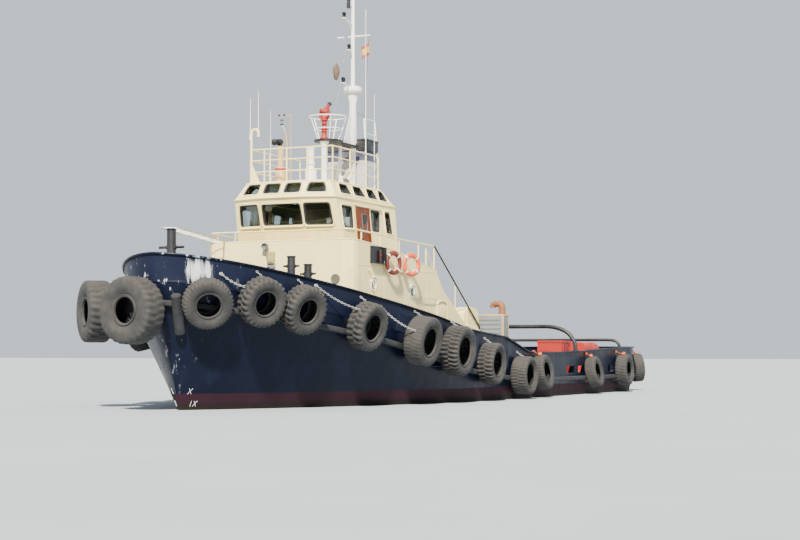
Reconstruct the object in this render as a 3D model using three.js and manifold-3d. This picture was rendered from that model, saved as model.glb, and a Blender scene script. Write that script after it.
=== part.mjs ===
// Harbour tug, 32 m long and 8.8 m wide, with tyre fenders all round and a fire monitor.
// Millimetres. +X points to the bow, +Y to port and +Z up. The origin is amidships,
// on the centreline, at the waterline.
import * as THREE from "three";
import { mergeVertices } from "three/addons/utils/BufferGeometryUtils.js";
import Module from "manifold-3d";

const wasm = await Module();
wasm.setup();

// Driving dimensions
const GAP = 0.3; // clearance between pieces that touch
const HALF_BEAM = 4400;
const BOW_X = 16000; // foremost point of the bulwark
const STERN_X = -16000; // aftermost point of the bulwark
const BOW_ROUND_X = 2400; // forward of this the side curves in
const STERN_ROUND_X = -11600; // aft of this the side curves in
const WATERLINE_STEM_X = 14600;
const KEEL_Z = -2900; // underside of the shell amidships
const HEEL_Z = -3800; // lowest point, under the rudder
const HOUSE = { aft: 2900, front: 9150, half: 2530, wall: 100, corner: 350 };
const UPPER_DECK_Z = 4200; // top of the deckhouse, floor of the wheelhouse
const COAMING_Z = 4950; // top of the plating round the upper deck
const CASING = { aft: -900, front: 2900, half: 1400, top: 3050 };
const ROOF_Z = 6800; // top of the wheelhouse
const MAST_X = 4050;
const FUNNEL = { aft: 3000, front: 3850, port: 360, starboard: -1060, cap: 8290, top: 8680 };
const MONITOR_X = 6100;
const PLATFORM_Z = 8410; // top of the monitor platform
const SHAFT_Z = -2350;
const PROPELLER_X = -12300;
const PROPELLER_R = 1180;
const RUDDER_X = -13950; // axis of the rudder stock
const TOW_HOOK_X = -4300;

// Height of the bulwark's top edge along the length: [x, z]
const SHEER = [
  [-16000, 1850],
  [-11900, 1810],
  [-7000, 1660],
  [-3100, 1590],
  [-700, 1620],
  [400, 1880],
  [1400, 2110],
  [3300, 2230],
  [4650, 2340],
  [6600, 2670],
  [9800, 3160],
  [13200, 3740],
  [14800, 4030],
  [16000, 4230],
];

// Height of the deck along the length: [x, z]
const DECK = [
  [-16000, 820],
  [-700, 780],
  [1400, 1000],
  [4650, 1350],
  [9150, 2250],
  [12000, 2750],
  [16000, 3480],
];

// Depth of the shell's underside along the length: [x, z]
const KEEL_LINE = [
  [-16000, -420],
  [-14000, -560],
  [-12000, -860],
  [-10800, -1300],
  [-9400, -2000],
  [-7600, -2600],
  [-5500, KEEL_Z],
  [16000, KEEL_Z],
];

// Levels of the hull from deck to keel. rise: share of the deck's height (above water) or of
// the depth (below). flare: share of the way from the waterline's plan to the deck's plan.
const LEVELS = [
  { rise: 1, beam: 1, stem: BOW_X, stern: STERN_X, n: 2.4, m: 0.6 },
  { rise: 0.55, beam: 0.99, stem: 15250, stern: -15800, n: 2.1, m: 0.72 },
  { rise: 0, beam: 0.975, stem: WATERLINE_STEM_X, stern: -15500, n: 1.8, m: 0.92 },
  { rise: -0.4, beam: 0.95, stem: 14450, stern: -15250, n: 1.75, m: 1 },
  { rise: -0.75, beam: 0.86, stem: 14050, stern: -15000, n: 1.7, m: 1.15 },
  { rise: -0.95, beam: 0.55, stem: 13500, stern: -14700, n: 1.6, m: 1.3 },
  { rise: -1, beam: 0.06, stem: 13100, stern: -14500, n: 1.5, m: 1.3 },
];
const BOW_STEPS = 9;
const SIDE_STEPS = 6;
const STERN_STEPS = 6;
const STERN_N = 3.4; // how square the stern is in plan

// Paint and metal
const paint = (color, roughness = 0.5, metalness = 0) =>
  new THREE.MeshStandardMaterial({ color, roughness, metalness });
const NAVY = paint("#1c2238", 0.45);
const ANTIFOULING = paint("#4a2b38", 0.8);
const CREAM = paint("#e9dfae", 0.5);
const WHITE = paint("#f1f1ea", 0.45);
const BLACK = paint("#17181b", 0.6);
const RED = paint("#c23a33", 0.5);
const GREY = paint("#6d7275", 0.6);
const ORANGE = paint("#e2603a", 0.6);
const RUBBER = paint("#3f4043", 0.95);
const BRONZE = paint("#9a7440", 0.4, 1);
const STEEL = paint("#8b8f92", 0.5, 0.8);
const WOOD = paint("#8f5128", 0.6);
const GLASS = new THREE.MeshStandardMaterial({
  color: "#2c3a42",
  roughness: 0.1,
  transparent: true,
  opacity: 0.5,
});

const tug = new THREE.Group();

// Solids

function solidOf(geometry) {
  const plain = geometry.index ? geometry.toNonIndexed() : geometry.clone();
  plain.deleteAttribute("normal");
  plain.deleteAttribute("uv");
  const merged = mergeVertices(plain, 1e-3);
  return new wasm.Manifold(
    new wasm.Mesh({
      numProp: 3,
      vertProperties: new Float32Array(merged.attributes.position.array),
      triVerts: new Uint32Array(merged.index.array),
    }),
  );
}

function geometryOf(solid) {
  const mesh = solid.getMesh();
  const geometry = new THREE.BufferGeometry();
  geometry.setAttribute("position", new THREE.BufferAttribute(mesh.vertProperties, 3));
  geometry.setIndex(new THREE.BufferAttribute(mesh.triVerts, 1));
  const flat = geometry.toNonIndexed();
  flat.computeVertexNormals();
  return flat;
}

function add(name, solid, material, parent = tug) {
  const mesh = new THREE.Mesh(geometryOf(solid), material);
  mesh.name = name;
  parent.add(mesh);
  return mesh;
}

const join = (...solids) => solids.reduce((a, b) => a.add(b));
const cut = (solid, ...tools) => tools.reduce((a, b) => a.subtract(b), solid);

// A box from its lowest to its highest corner
function box(x0, x1, y0, y1, z0, z1) {
  const geometry = new THREE.BoxGeometry(x1 - x0, y1 - y0, z1 - z0);
  return solidOf(geometry.translate((x0 + x1) / 2, (y0 + y1) / 2, (z0 + z1) / 2));
}

// The same solid on the other side of the ship
const mirrored = (solid) => solid.mirror([0, 1, 0]);

// A round bar from point a to point b, with its own radius at each end
function bar(a, b, r, r2 = r, sides = 8) {
  const from = new THREE.Vector3(...a);
  const to = new THREE.Vector3(...b);
  const length = from.distanceTo(to);
  const geometry = new THREE.CylinderGeometry(r2, r, length, sides);
  const turn = new THREE.Quaternion().setFromUnitVectors(
    new THREE.Vector3(0, 1, 0),
    to.clone().sub(from).normalize(),
  );
  geometry.applyQuaternion(turn);
  geometry.translate(...from.add(to).multiplyScalar(0.5).toArray());
  return solidOf(geometry);
}

// A round tube through a list of points, mitred at its bends; a closed one ends where it starts
function pipe(points, r, sides = 5, closed = false) {
  const path = points.map((p) => new THREE.Vector3(...p));
  const count = path.length;
  const direction = (i) => path[(i + 1) % count].clone().sub(path[i]).normalize();
  const first = direction(0);
  const sideways = new THREE.Vector3(0, 0, 1).cross(first);
  if (sideways.length() < 0.1) sideways.set(1, 0, 0);
  sideways.normalize();
  const other = first.clone().cross(sideways);
  const around = [];
  for (let k = 0; k < sides; k++) {
    const a = ((k + 0.5) / sides) * 2 * Math.PI;
    const offset = sideways.clone().multiplyScalar(r * Math.cos(a));
    around.push(path[0].clone().addScaledVector(other, r * Math.sin(a)).add(offset));
  }
  // Where each lengthwise edge meets the mitre plane through point i
  const onto = (ring, i, along, normal) =>
    ring.map((v) => {
      const t = path[i].clone().sub(v).dot(normal) / along.dot(normal);
      return v.clone().addScaledVector(along, t);
    });
  const mitre = (i) => direction((i + count - 1) % count).add(direction(i)).normalize();
  const rings = [closed ? onto(around, 0, first, mitre(0)) : around];
  for (let i = 1; i < count; i++) {
    const along = direction(i - 1);
    const normal = closed || i < count - 1 ? mitre(i) : along;
    rings.push(onto(rings[i - 1], i, along, normal));
  }
  const faces = [];
  const spans = closed ? count : count - 1;
  for (let i = 0; i < spans; i++) {
    const low = rings[i];
    const high = rings[(i + 1) % count];
    for (let k = 0; k < sides; k++) {
      const m = (k + 1) % sides;
      faces.push([low[k], low[m], high[m]], [low[k], high[m], high[k]]);
    }
  }
  const end = rings[count - 1];
  for (let k = 2; !closed && k < sides; k++) {
    faces.push([rings[0][0], rings[0][k], rings[0][k - 1]], [end[0], end[k - 1], end[k]]);
  }
  return fromFaces(faces.map((face) => face.map((v) => v.toArray())));
}

// A solid from triangles of [x, y, z] corners
function fromFaces(faces) {
  const geometry = new THREE.BufferGeometry();
  geometry.setAttribute("position", new THREE.Float32BufferAttribute(faces.flat(2), 3));
  const solid = solidOf(geometry);
  return solid.volume() < 0 ? solidOf(turnedOut(geometry)) : solid;
}

// A flat outline [[u, v], ...] drawn in a plane and given a thickness along the third axis
function plate(outline, axis, from, to) {
  const shape = new THREE.Shape(outline.map(([u, v]) => new THREE.Vector2(u, v)));
  const geometry = new THREE.ExtrudeGeometry(shape, { depth: to - from, bevelEnabled: false });
  geometry.translate(0, 0, from);
  if (axis === "y") geometry.rotateX(Math.PI / 2).scale(1, -1, 1);
  const zToX = new THREE.Matrix4().set(0, 0, 1, 0, 1, 0, 0, 0, 0, 1, 0, 0, 0, 0, 0, 1);
  if (axis === "x") geometry.applyMatrix4(zToX);
  const solid = solidOf(geometry);
  return solid.volume() < 0 ? solidOf(turnedOut(geometry)) : solid;
}

// The same geometry with each face turned round
function turnedOut(geometry) {
  const plain = geometry.index ? geometry.toNonIndexed() : geometry.clone();
  const p = plain.attributes.position;
  for (let i = 0; i < p.count; i += 3) {
    const a = new THREE.Vector3().fromBufferAttribute(p, i);
    const b = new THREE.Vector3().fromBufferAttribute(p, i + 1);
    p.setXYZ(i, b.x, b.y, b.z);
    p.setXYZ(i + 1, a.x, a.y, a.z);
  }
  return plain;
}

// A profile [[radius, height], ...] turned round an axis through point at
function turned(profile, at, axis = [0, 0, 1], sides = 16) {
  const points = profile.map(([r, h]) => new THREE.Vector2(r, h));
  const geometry = new THREE.LatheGeometry(points, sides);
  geometry.applyQuaternion(
    new THREE.Quaternion().setFromUnitVectors(
      new THREE.Vector3(0, 1, 0),
      new THREE.Vector3(...axis).normalize(),
    ),
  );
  geometry.translate(...at);
  const solid = solidOf(geometry);
  return solid.volume() < 0 ? solidOf(turnedOut(geometry)) : solid;
}

// A skin through closed rings of points, all with the same count. The ends are closed by
// strips across from each point to its partner on the other side.
function skin(rings) {
  const count = rings[0].length;
  const points = rings.flat();
  const faces = [];
  for (let k = 0; k + 1 < rings.length; k++) {
    for (let i = 0; i < count; i++) {
      const a = k * count + i;
      const b = k * count + ((i + 1) % count);
      faces.push([a, b, b + count], [a, b + count, a + count]);
    }
  }
  const last = (rings.length - 1) * count;
  for (let i = 0; i < count / 2; i++) {
    const j = (count - i) % count;
    const quad = [i, i + 1, (count - i - 1) % count, j];
    faces.push([quad[0], quad[2], quad[1]], [quad[0], quad[3], quad[2]]);
    const end = quad.map((q) => q + last);
    faces.push([end[0], end[1], end[2]], [end[0], end[2], end[3]]);
  }
  const whole = faces.filter((f) => new Set(f).size === 3);
  return fromFaces(whole.map((f) => f.map((v) => points[v])));
}

// The height on a line of [x, z] pairs at x
function heightOn(line, x) {
  const i = Math.max(1, line.findIndex((p) => p[0] >= x));
  const [x0, z0] = line[i - 1];
  const [x1, z1] = line[i];
  const share = Math.min(1, Math.max(0, (x - x0) / (x1 - x0)));
  return z0 + share * (z1 - z0);
}

// Hull

// Half-breadth of a level at x
function halfBreadth(level, x) {
  const full = HALF_BEAM * level.beam;
  if (x > BOW_ROUND_X) {
    const u = Math.min(1, (x - BOW_ROUND_X) / (level.stem - BOW_ROUND_X));
    return full * Math.pow(1 - Math.pow(u, level.n), level.m);
  }
  if (x < STERN_ROUND_X) {
    const u = Math.min(1, (x - STERN_ROUND_X) / (level.stern - STERN_ROUND_X));
    return full * Math.sqrt(1 - Math.pow(u, STERN_N));
  }
  return full;
}

// Lengthwise places of the points of a level, from the stem to the stern
function stations(level) {
  const xs = [];
  for (let i = 0; i < BOW_STEPS; i++) {
    const u = Math.cos((i / BOW_STEPS) * (Math.PI / 2));
    xs.push(BOW_ROUND_X + u * (level.stem - BOW_ROUND_X));
  }
  for (let i = 0; i <= SIDE_STEPS; i++) {
    xs.push(BOW_ROUND_X + (i / SIDE_STEPS) * (STERN_ROUND_X - BOW_ROUND_X));
  }
  for (let i = 1; i <= STERN_STEPS; i++) {
    const u = Math.sin((i / STERN_STEPS) * (Math.PI / 2));
    xs.push(STERN_ROUND_X + u * (level.stern - STERN_ROUND_X));
  }
  return xs;
}

// The closed ring of a level's plan, in from the side by inset, at the height that zOf gives
function ring(level, zOf, inset = 0) {
  const xs = stations(level);
  const port = xs.map((x) => [x, halfBreadth(level, x)]);
  const inner = port.map(([x, y], i) => {
    if (!inset) return [x, y];
    const before = port[Math.max(0, i - 1)];
    const after = port[Math.min(port.length - 1, i + 1)];
    const first = i === 0;
    const end = i === port.length - 1;
    if (first) return [x - inset, 0];
    if (end) return [x + inset, 0];
    const along = new THREE.Vector2(before[0] - after[0], before[1] - after[1]).normalize();
    return [x + along.y * inset, Math.max(1, y - along.x * inset)];
  });
  const left = inner.map(([x, y]) => [x, y, zOf(x)]);
  const right = inner.slice(1, -1).reverse().map(([x, y]) => [x, -y, zOf(x)]);
  return [...left, ...right];
}

const deckAt = (x) => heightOn(DECK, x);
const sheerAt = (x) => heightOn(SHEER, x);
const keelAt = (x) => heightOn(KEEL_LINE, x);

function makeHull() {
  const rings = LEVELS.map((level) =>
    ring(level, (x) => (level.rise >= 0 ? deckAt(x) * level.rise : -keelAt(x) * level.rise)),
  );
  return skin(rings);
}

const hullShell = makeHull();
const RUDDER_TRUNK_R = 118;
const rudderTrunk = bar([RUDDER_X, 0, -2000], [RUDDER_X, 0, 300], RUDDER_TRUNK_R, RUDDER_TRUNK_R, 16);
const hull = cut(hullShell, rudderTrunk);
const hullRaised = hullShell.translate([0, 0, GAP]);
const hullWide = hullShell.scale([1.00004, 1.0001, 1]);
const hullClear = hullWide.translate([0, 0, GAP]);
const hullLowered = hullShell.translate([0, 0, -GAP]);
add("hull", hull, NAVY);

// A piece that stands on the deck is made too deep and cut where it meets the deck.
const onDeck = (solid) => cut(solid, hullRaised);

// Bulwarks: plating round the deck's edge with a flat cap rail
const BULWARK_T = 70;
const CAP_T = 60;
const CAP_WIDTH = 190;
const BULWARK_SPLIT_X = -700; // the step down to the aft deck ends here

function makeBulwark() {
  const level = LEVELS[0];
  const foot = (x) => deckAt(x) + GAP;
  const wallOuter = skin([ring(level, foot), ring(level, (x) => sheerAt(x))]);
  const deep = (x) => deckAt(x) - 100;
  const high = (x) => sheerAt(x) + 100;
  const wallInner = skin([ring(level, deep, BULWARK_T), ring(level, high, BULWARK_T)]);
  const capLow = (x) => sheerAt(x) - CAP_T;
  const capOuter = skin([ring(level, capLow), ring(level, (x) => sheerAt(x))]);
  const capInner = skin([ring(level, deep, CAP_WIDTH), ring(level, high, CAP_WIDTH)]);
  const wall = cut(wallOuter, wallInner);
  const cap = cut(capOuter, capInner);
  return wall.add(cap);
}

// Freeing ports through the aft bulwark: [centre x, length]
const FREEING_PORTS = [
  [-5200, 900],
  [-6500, 900],
  [-10200, 900],
  [-11300, 900],
];
const FREEING_Z = [830, 1080];

const bulwark = makeBulwark();
const foreHalf = box(BULWARK_SPLIT_X + GAP, 17000, -5000, 5000, -500, 6000);
const aftHalf = box(-17000, BULWARK_SPLIT_X, -5000, 5000, -500, 6000);
let aftBulwark = bulwark.intersect(aftHalf);
for (const [x, length] of FREEING_PORTS) {
  aftBulwark = cut(aftBulwark, box(x - length / 2, x + length / 2, -5000, 5000, ...FREEING_Z));
}
add("bulwark_forward", bulwark.intersect(foreHalf), NAVY);
add("bulwark_aft", aftBulwark, NAVY);

// The ring round the hull's side at the height that zOf gives, out from the side by out
function sideRing(zOf, out) {
  const rings = LEVELS.slice(0, 3).map((level) => ring(level, (x) => deckAt(x) * level.rise));
  const middle = rings[0].map(([x]) => zOf(x));
  const points = rings[0].map((top, i) => {
    const [upper, lower] = middle[i] > rings[1][i][2] ? [top, rings[1][i]] : [rings[1][i], rings[2][i]];
    const t = Math.min(1, Math.max(0, (upper[2] - middle[i]) / (upper[2] - lower[2])));
    return [upper[0] + t * (lower[0] - upper[0]), upper[1] + t * (lower[1] - upper[1]), middle[i]];
  });
  const count = points.length;
  return points.map(([x, y, z], i) => {
    const before = points[(i + count - 1) % count];
    const after = points[(i + 1) % count];
    const along = new THREE.Vector2(after[0] - before[0], after[1] - before[1]).normalize();
    return [x + along.y * out, y - along.x * out, z];
  });
}

// Belting: a heavy rubbing bar along the side, which backs the hanging tyres
const BELT = [
  [-16000, 560],
  [-700, 540],
  [1400, 660],
  [4650, 930],
  [9300, 1800],
  [12400, 2290],
  [16000, 2850],
];
const BELT_H = 160;
const BELT_OUT = 120;

const beltAt = (x) => heightOn(BELT, x);

// A rubbing belt that stands out from the side, between two heights over the belt's line
function makeBelt(out, low, high) {
  const outer = skin([sideRing((x) => beltAt(x) + low, out), sideRing((x) => beltAt(x) + high, out)]);
  const inner = skin([
    sideRing((x) => beltAt(x) + low - 50, -250),
    sideRing((x) => beltAt(x) + high + 50, -250),
  ]);
  return cut(outer, inner, hullWide);
}

// Tyre fenders: [x, y, z, outer diameter, half width as a share of the radius, degrees turned aft
// from the side's own heading, degrees that its foot swings out], each centre near where it hangs
const PORT_TYRES = [
  [14260, 2370, 3020, 1360, 0.38, 9, 0],
  [13080, 3000, 2830, 1360, 0.38, 9, 0],
  [10810, 3830, 2400, 1390, 0.4, 10, 0],
  [8240, 4370, 1980, 1470, 0.43, 8, 0],
  [6090, 4600, 1660, 1540, 0.39, 2, 0],
  [3520, 4650, 1240, 1330, 0.42, 0, 0],
  [580, 4650, 830, 1280, 0.46, 0, 4],
  [-1470, 4650, 900, 1200, 0.36, 0, 12],
  [-7190, 4650, 860, 1150, 0.36, 0, 14],
  [-10960, 4650, 900, 1220, 0.4, 0, 5],
  [-14500, 4130, 970, 1180, 0.36, 0, 10],
];
const BOW_TYRE = [15470, 1440, 2980, 1360, 0.36, 0, 0];
const STARBOARD_TYRES = [[12500, 3230, 2750, 1360, 0.38, 6, 0], ...PORT_TYRES.slice(2)];
// The two big bow tyres: [x, y, z, outer diameter, heading of the face in degrees from ahead]
const BIG_TYRES = [
  [16180, -500, 2680, 1810, -8],
  [14380, -2930, 2720, 1750, -40],
];
const BIG_TYRE_WIDTH = 0.42;
const TYRE_BORE = 0.5; // radius of its hole as a share of its radius
const TYRE_SIDES = 12;
const BITE = 60; // how far a tyre presses into the belt, which curves away under it
const SWING_SHARE = 0.3; // how far a turned tyre moves out, as a share of its edge's swing

// The nearest place on the belt to a tyre's centre, and the way out from the side there
function seat([x, y, z, diameter, width, turn, lean]) {
  const r = diameter / 2;
  const level = sideRing(() => z, 0);
  const count = level.length;
  let best = { gap: Infinity };
  for (let i = 0; i < count; i++) {
    const a = level[i];
    const b = level[(i + 1) % count];
    const [dx, dy] = [b[0] - a[0], b[1] - a[1]];
    const t = Math.min(1, Math.max(0, ((x - a[0]) * dx + (y - a[1]) * dy) / (dx * dx + dy * dy)));
    const gap = Math.hypot(x - a[0] - t * dx, y - a[1] - t * dy);
    if (gap < best.gap) best = { gap, i, t };
  }
  const point = (points) => {
    const a = new THREE.Vector3(...points[best.i]);
    return a.lerp(new THREE.Vector3(...points[(best.i + 1) % count]), best.t);
  };
  const foot = point(level);
  const next = new THREE.Vector3(...level[(best.i + 1) % count]);
  const along = next.sub(new THREE.Vector3(...level[best.i]));
  const upright = point(sideRing(() => z + r * 0.8, 0)).sub(point(sideRing(() => z - r * 0.8, 0)));
  const out = along.cross(upright).normalize();
  if (out.x * (x - foot.x) + out.y * (y - foot.y) < 0) out.negate();
  const [turnBy, leanBy] = [turn, lean].map(THREE.MathUtils.degToRad);
  const swing = SWING_SHARE * r * Math.sin(turnBy);
  const centre = foot.addScaledVector(out, BELT_OUT + r * width - BITE + swing);
  out.applyAxisAngle(new THREE.Vector3(0, 0, 1), turnBy);
  out.z += Math.tan(leanBy);
  return { centre, out: out.normalize() };
}

// The place and the way out of a tyre whose heading is given
function facing([x, y, z, , heading]) {
  const a = THREE.MathUtils.degToRad(heading);
  return { centre: new THREE.Vector3(x, y, z), out: new THREE.Vector3(Math.cos(a), Math.sin(a), 0) };
}

function tyre(row, { centre, out } = seat(row), width = row[4]) {
  const r = row[3] / 2;
  const w = r * width;
  const bore = r * TYRE_BORE;
  const profile = [
    [bore, -w * 0.8],
    [r * 0.8, -w],
    [r, -w * 0.72],
    [r, w * 0.72],
    [r * 0.8, w],
    [bore, w * 0.8],
    [bore, -w * 0.8],
  ];
  return turned(profile, centre.toArray(), out.toArray(), TYRE_SIDES);
}

const bulwarkWide = bulwark.scale([1.00004, 1.0001, 1]);
const belt = makeBelt(BELT_OUT, 0, BELT_H);
// Thick bow rubber to starboard of the stem, which carries the two big tyres
const BOW_RUBBER = { aft: 13500, port: -60, out: 470, low: -150, high: 330 };
const bowRubber = makeBelt(BOW_RUBBER.out, BOW_RUBBER.low, BOW_RUBBER.high).intersect(
  box(BOW_RUBBER.aft, 17000, -6000, BOW_RUBBER.port, -1000, 6000),
);
// The belt's joints: port and starboard lengths, and a bow length between them
const BOW_JOINT = { port: 14900, starboard: 13320 };
const SPLIT = 3;
const ZONES = {
  port: box(-17000, BOW_JOINT.port - SPLIT, SPLIT, 6000, -1000, 6000),
  starboard: box(-17000, BOW_JOINT.starboard - SPLIT, -6000, -SPLIT, -1000, 6000),
  bow: join(
    box(BOW_JOINT.port, 17000, -1, 6000, -1000, 6000),
    box(BOW_JOINT.starboard, 17000, -6000, 1, -1000, 6000),
  ),
};
// Stem fender: a vertical half-round rubber between the bow tyres
const stemFender = bar([15260, 430, 2070], [15740, 590, 3100], 140, 140, 14);
const rows = {
  port: PORT_TYRES.map((row) => tyre(row)),
  starboard: STARBOARD_TYRES.map((row) => mirrored(tyre(row))),
  bow: [
    tyre(BOW_TYRE),
    ...BIG_TYRES.map((row) => tyre(row, facing(row), BIG_TYRE_WIDTH)),
    stemFender,
    bowRubber,
  ],
};
for (const side of ["port", "starboard", "bow"]) {
  const bare = belt.intersect(ZONES[side]);
  const outer = rows[side].map((piece) => cut(piece, hullWide, hullClear, bulwarkWide));
  add("fenders_" + side, join(bare, ...outer), RUBBER);
}

// Underwater gear

const SKEG_AFT = -11150;
const SKEG_HALF = 110;
const HUB_FORWARD = 240;
const STERN_TUBE_END = PROPELLER_X + HUB_FORWARD + 1 + GAP;
const SOLE_TOP = HEEL_Z + 160;
const NOZZLE_GAP = 25;
const NOZZLE_R = PROPELLER_R + NOZZLE_GAP;
const NOZZLE_T = 150;
const NOZZLE_LENGTH = 1150;

function makeSkeg() {
  const outline = [
    [12800, KEEL_Z + 200],
    [12400, KEEL_Z - 120],
    [-4500, KEEL_Z - 320],
    [SKEG_AFT + 200, HEEL_Z],
    [RUDDER_X - 350, HEEL_Z],
    [RUDDER_X - 350, SOLE_TOP],
    [SKEG_AFT, SOLE_TOP],
    [SKEG_AFT, -700],
    [-6000, -1200],
    [12000, KEEL_Z + 200],
  ];
  const fin = plate(outline, "y", -SKEG_HALF, SKEG_HALF);
  const tube = bar([-8200, 0, SHAFT_Z], [STERN_TUBE_END, 0, SHAFT_Z], 300, 210, 16);
  const bossTop = SOLE_TOP + 40 - GAP;
  const pintle = bar([RUDDER_X, 0, SOLE_TOP - 100], [RUDDER_X, 0, bossTop], 120, 120, 12);
  const hole = bar([RUDDER_X, 0, SOLE_TOP - 90], [RUDDER_X, 0, SOLE_TOP + 50], 76, 76, 12);
  const shaftBore = bar([SKEG_AFT - 1200, 0, SHAFT_Z], [SKEG_AFT, 0, SHAFT_Z], 96, 96, 12);
  return cut(join(fin, tube, pintle), hullLowered, hole, shaftBore);
}

function makeNozzle() {
  const half = NOZZLE_LENGTH / 2;
  const r = NOZZLE_R;
  const profile = [
    [r, -half * 0.9],
    [r, half * 0.35],
    [r + 90, half],
    [r + NOZZLE_T, half * 0.7],
    [r + 70, -half],
    [r, -half * 0.9],
  ];
  const ringPiece = turned(profile, [PROPELLER_X, 0, SHAFT_Z], [1, 0, 0], 24);
  const headBox = box(PROPELLER_X - half * 0.8, PROPELLER_X + half * 0.8, -420, 420, SHAFT_Z + r + 40, 0);
  const footTop = SHAFT_Z - r - 40;
  const foot = box(PROPELLER_X - half * 0.8, PROPELLER_X + half * 0.8, -130, 130, SOLE_TOP + GAP, footTop);
  const bore = bar([PROPELLER_X - 900, 0, SHAFT_Z], [PROPELLER_X + 900, 0, SHAFT_Z], r, r, 24);
  const soleHalf = SKEG_HALF + GAP;
  const sole = box(PROPELLER_X - 900, PROPELLER_X + 900, -soleHalf, soleHalf, HEEL_Z - 100, SOLE_TOP + GAP);
  return cut(join(ringPiece, cut(join(headBox, foot), bore)), hullLowered, sole);
}

// One blade: a thin twisted plate from the hub to the nozzle's wall. Its two sides are divided
// the same way, so they never cross.
const BLADE_PITCH = 376; // how far a blade climbs in one radian
const BLADE_ROWS = [
  { r: 190, chord: 400, t: 75 },
  { r: 380, chord: 560, t: 58 },
  { r: 560, chord: 690, t: 46 },
  { r: 730, chord: 770, t: 36 },
  { r: 900, chord: 800, t: 28 },
  { r: 1050, chord: 760, t: 20 },
  { r: PROPELLER_R - 10, chord: 640, t: 14 },
];

function blade(turn) {
  const section = ({ r, chord, t }) => {
    const a = Math.atan2(BLADE_PITCH, r);
    const corner = (u, v) => {
      const x = u * Math.sin(a) + v * Math.cos(a);
      const swing = (u * Math.cos(a) - v * Math.sin(a)) / r;
      return [x, r * Math.sin(swing), r * Math.cos(swing)];
    };
    const c = chord / 2;
    return [corner(-c, 0), corner(0, t / 2), corner(c, 0), corner(0, -t / 2)];
  };
  const rings = BLADE_ROWS.map(section);
  const faces = [];
  for (let k = 0; k + 1 < rings.length; k++) {
    const [low, high] = [rings[k], rings[k + 1]];
    for (const i of [0, 1]) {
      faces.push([low[i], low[i + 1], high[i + 1]], [low[i], high[i + 1], high[i]]);
    }
    for (const i of [2, 3]) {
      const j = (i + 1) % 4;
      faces.push([low[i], low[j], high[i]], [low[j], high[j], high[i]]);
    }
  }
  const [root, tip] = [rings[0], rings[rings.length - 1]];
  faces.push([root[0], root[2], root[1]], [root[0], root[3], root[2]]);
  faces.push([tip[0], tip[1], tip[2]], [tip[0], tip[2], tip[3]]);
  return fromFaces(faces).rotate([turn, 0, 0]);
}

function makePropeller() {
  const hub = turned(
    [
      [0, -330],
      [110, -300],
      [210, -60],
      [210, HUB_FORWARD],
      [90, HUB_FORWARD + 1],
      [90, 1000],
      [0, 1000],
    ],
    [0, 0, 0],
    [1, 0, 0],
    16,
  );
  const blades = [0, 90, 180, 270].map(blade);
  return join(hub, ...blades).translate([PROPELLER_X, 0, SHAFT_Z]);
}

function makeRudder() {
  const top = -980;
  const bottom = SOLE_TOP + 40;
  const foil = [
    [560, 0],
    [420, 130],
    [60, 170],
    [-1150, 20],
    [-1150, -20],
    [60, -170],
    [420, -130],
  ].map(([x, y]) => [x + RUDDER_X, y]);
  const body = plate(foil, "z", bottom, top);
  const stock = bar([RUDDER_X, 0, top - 100], [RUDDER_X, 0, 100], 110, 110, 16);
  const pin = bar([RUDDER_X, 0, bottom + 50], [RUDDER_X, 0, SOLE_TOP - 60], 70, 70, 12);
  return join(body, stock, pin);
}

add("skeg", makeSkeg(), ANTIFOULING);
add("nozzle", makeNozzle(), ANTIFOULING);
add("propeller", makePropeller(), BRONZE);
add("rudder", makeRudder(), ANTIFOULING);

// Deckhouse: hollow, with the upper deck as its roof, the coaming round it and the sloping
// fashion plates aft. It has round front corners.

const COAMING_T = 60;

// Plan of the deckhouse, in from its walls by inset
function housePlan(inset, aft = HOUSE.aft) {
  const { front, half, corner } = HOUSE;
  const r = corner - inset;
  const x = front - inset;
  const y = half - inset;
  const arc = [0, 1, 2, 3].map((i) => {
    const a = (i / 3) * (Math.PI / 2);
    return [x - r + r * Math.cos(a), y - r + r * Math.sin(a)];
  });
  const port = [...arc, [aft + inset, y]];
  const starboard = port.map(([px, py]) => [px, -py]).reverse();
  return [...port, ...starboard];
}

// Side view of the coaming: the solid plating stands above the upper deck
const COAMING_LINE = [
  [HOUSE.aft, 4290],
  [3850, 4420],
  [6130, 4760],
  [8180, 4900],
  [HOUSE.front, COAMING_Z],
];
// Side view of the fashion plates, from the upper deck down to the aft deck
const FASHION_LINE = [
  [HOUSE.aft + 50, 4290],
  [2360, 3650],
  [370, 2520],
  [-900, 2380],
];
const HOUSE_PORTHOLES = [
  [4870, 3490],
  [7710, 3620],
];
const PORTHOLE_R = 165;
const FRONT_PORTHOLE = { y: 1970, z: 3760, r: 140 };

// The way from the engine casing into the deckhouse
const inwardDoorway = box(CASING.front - 200, CASING.front + 300, -350, 350, 1450, 2900);

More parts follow.
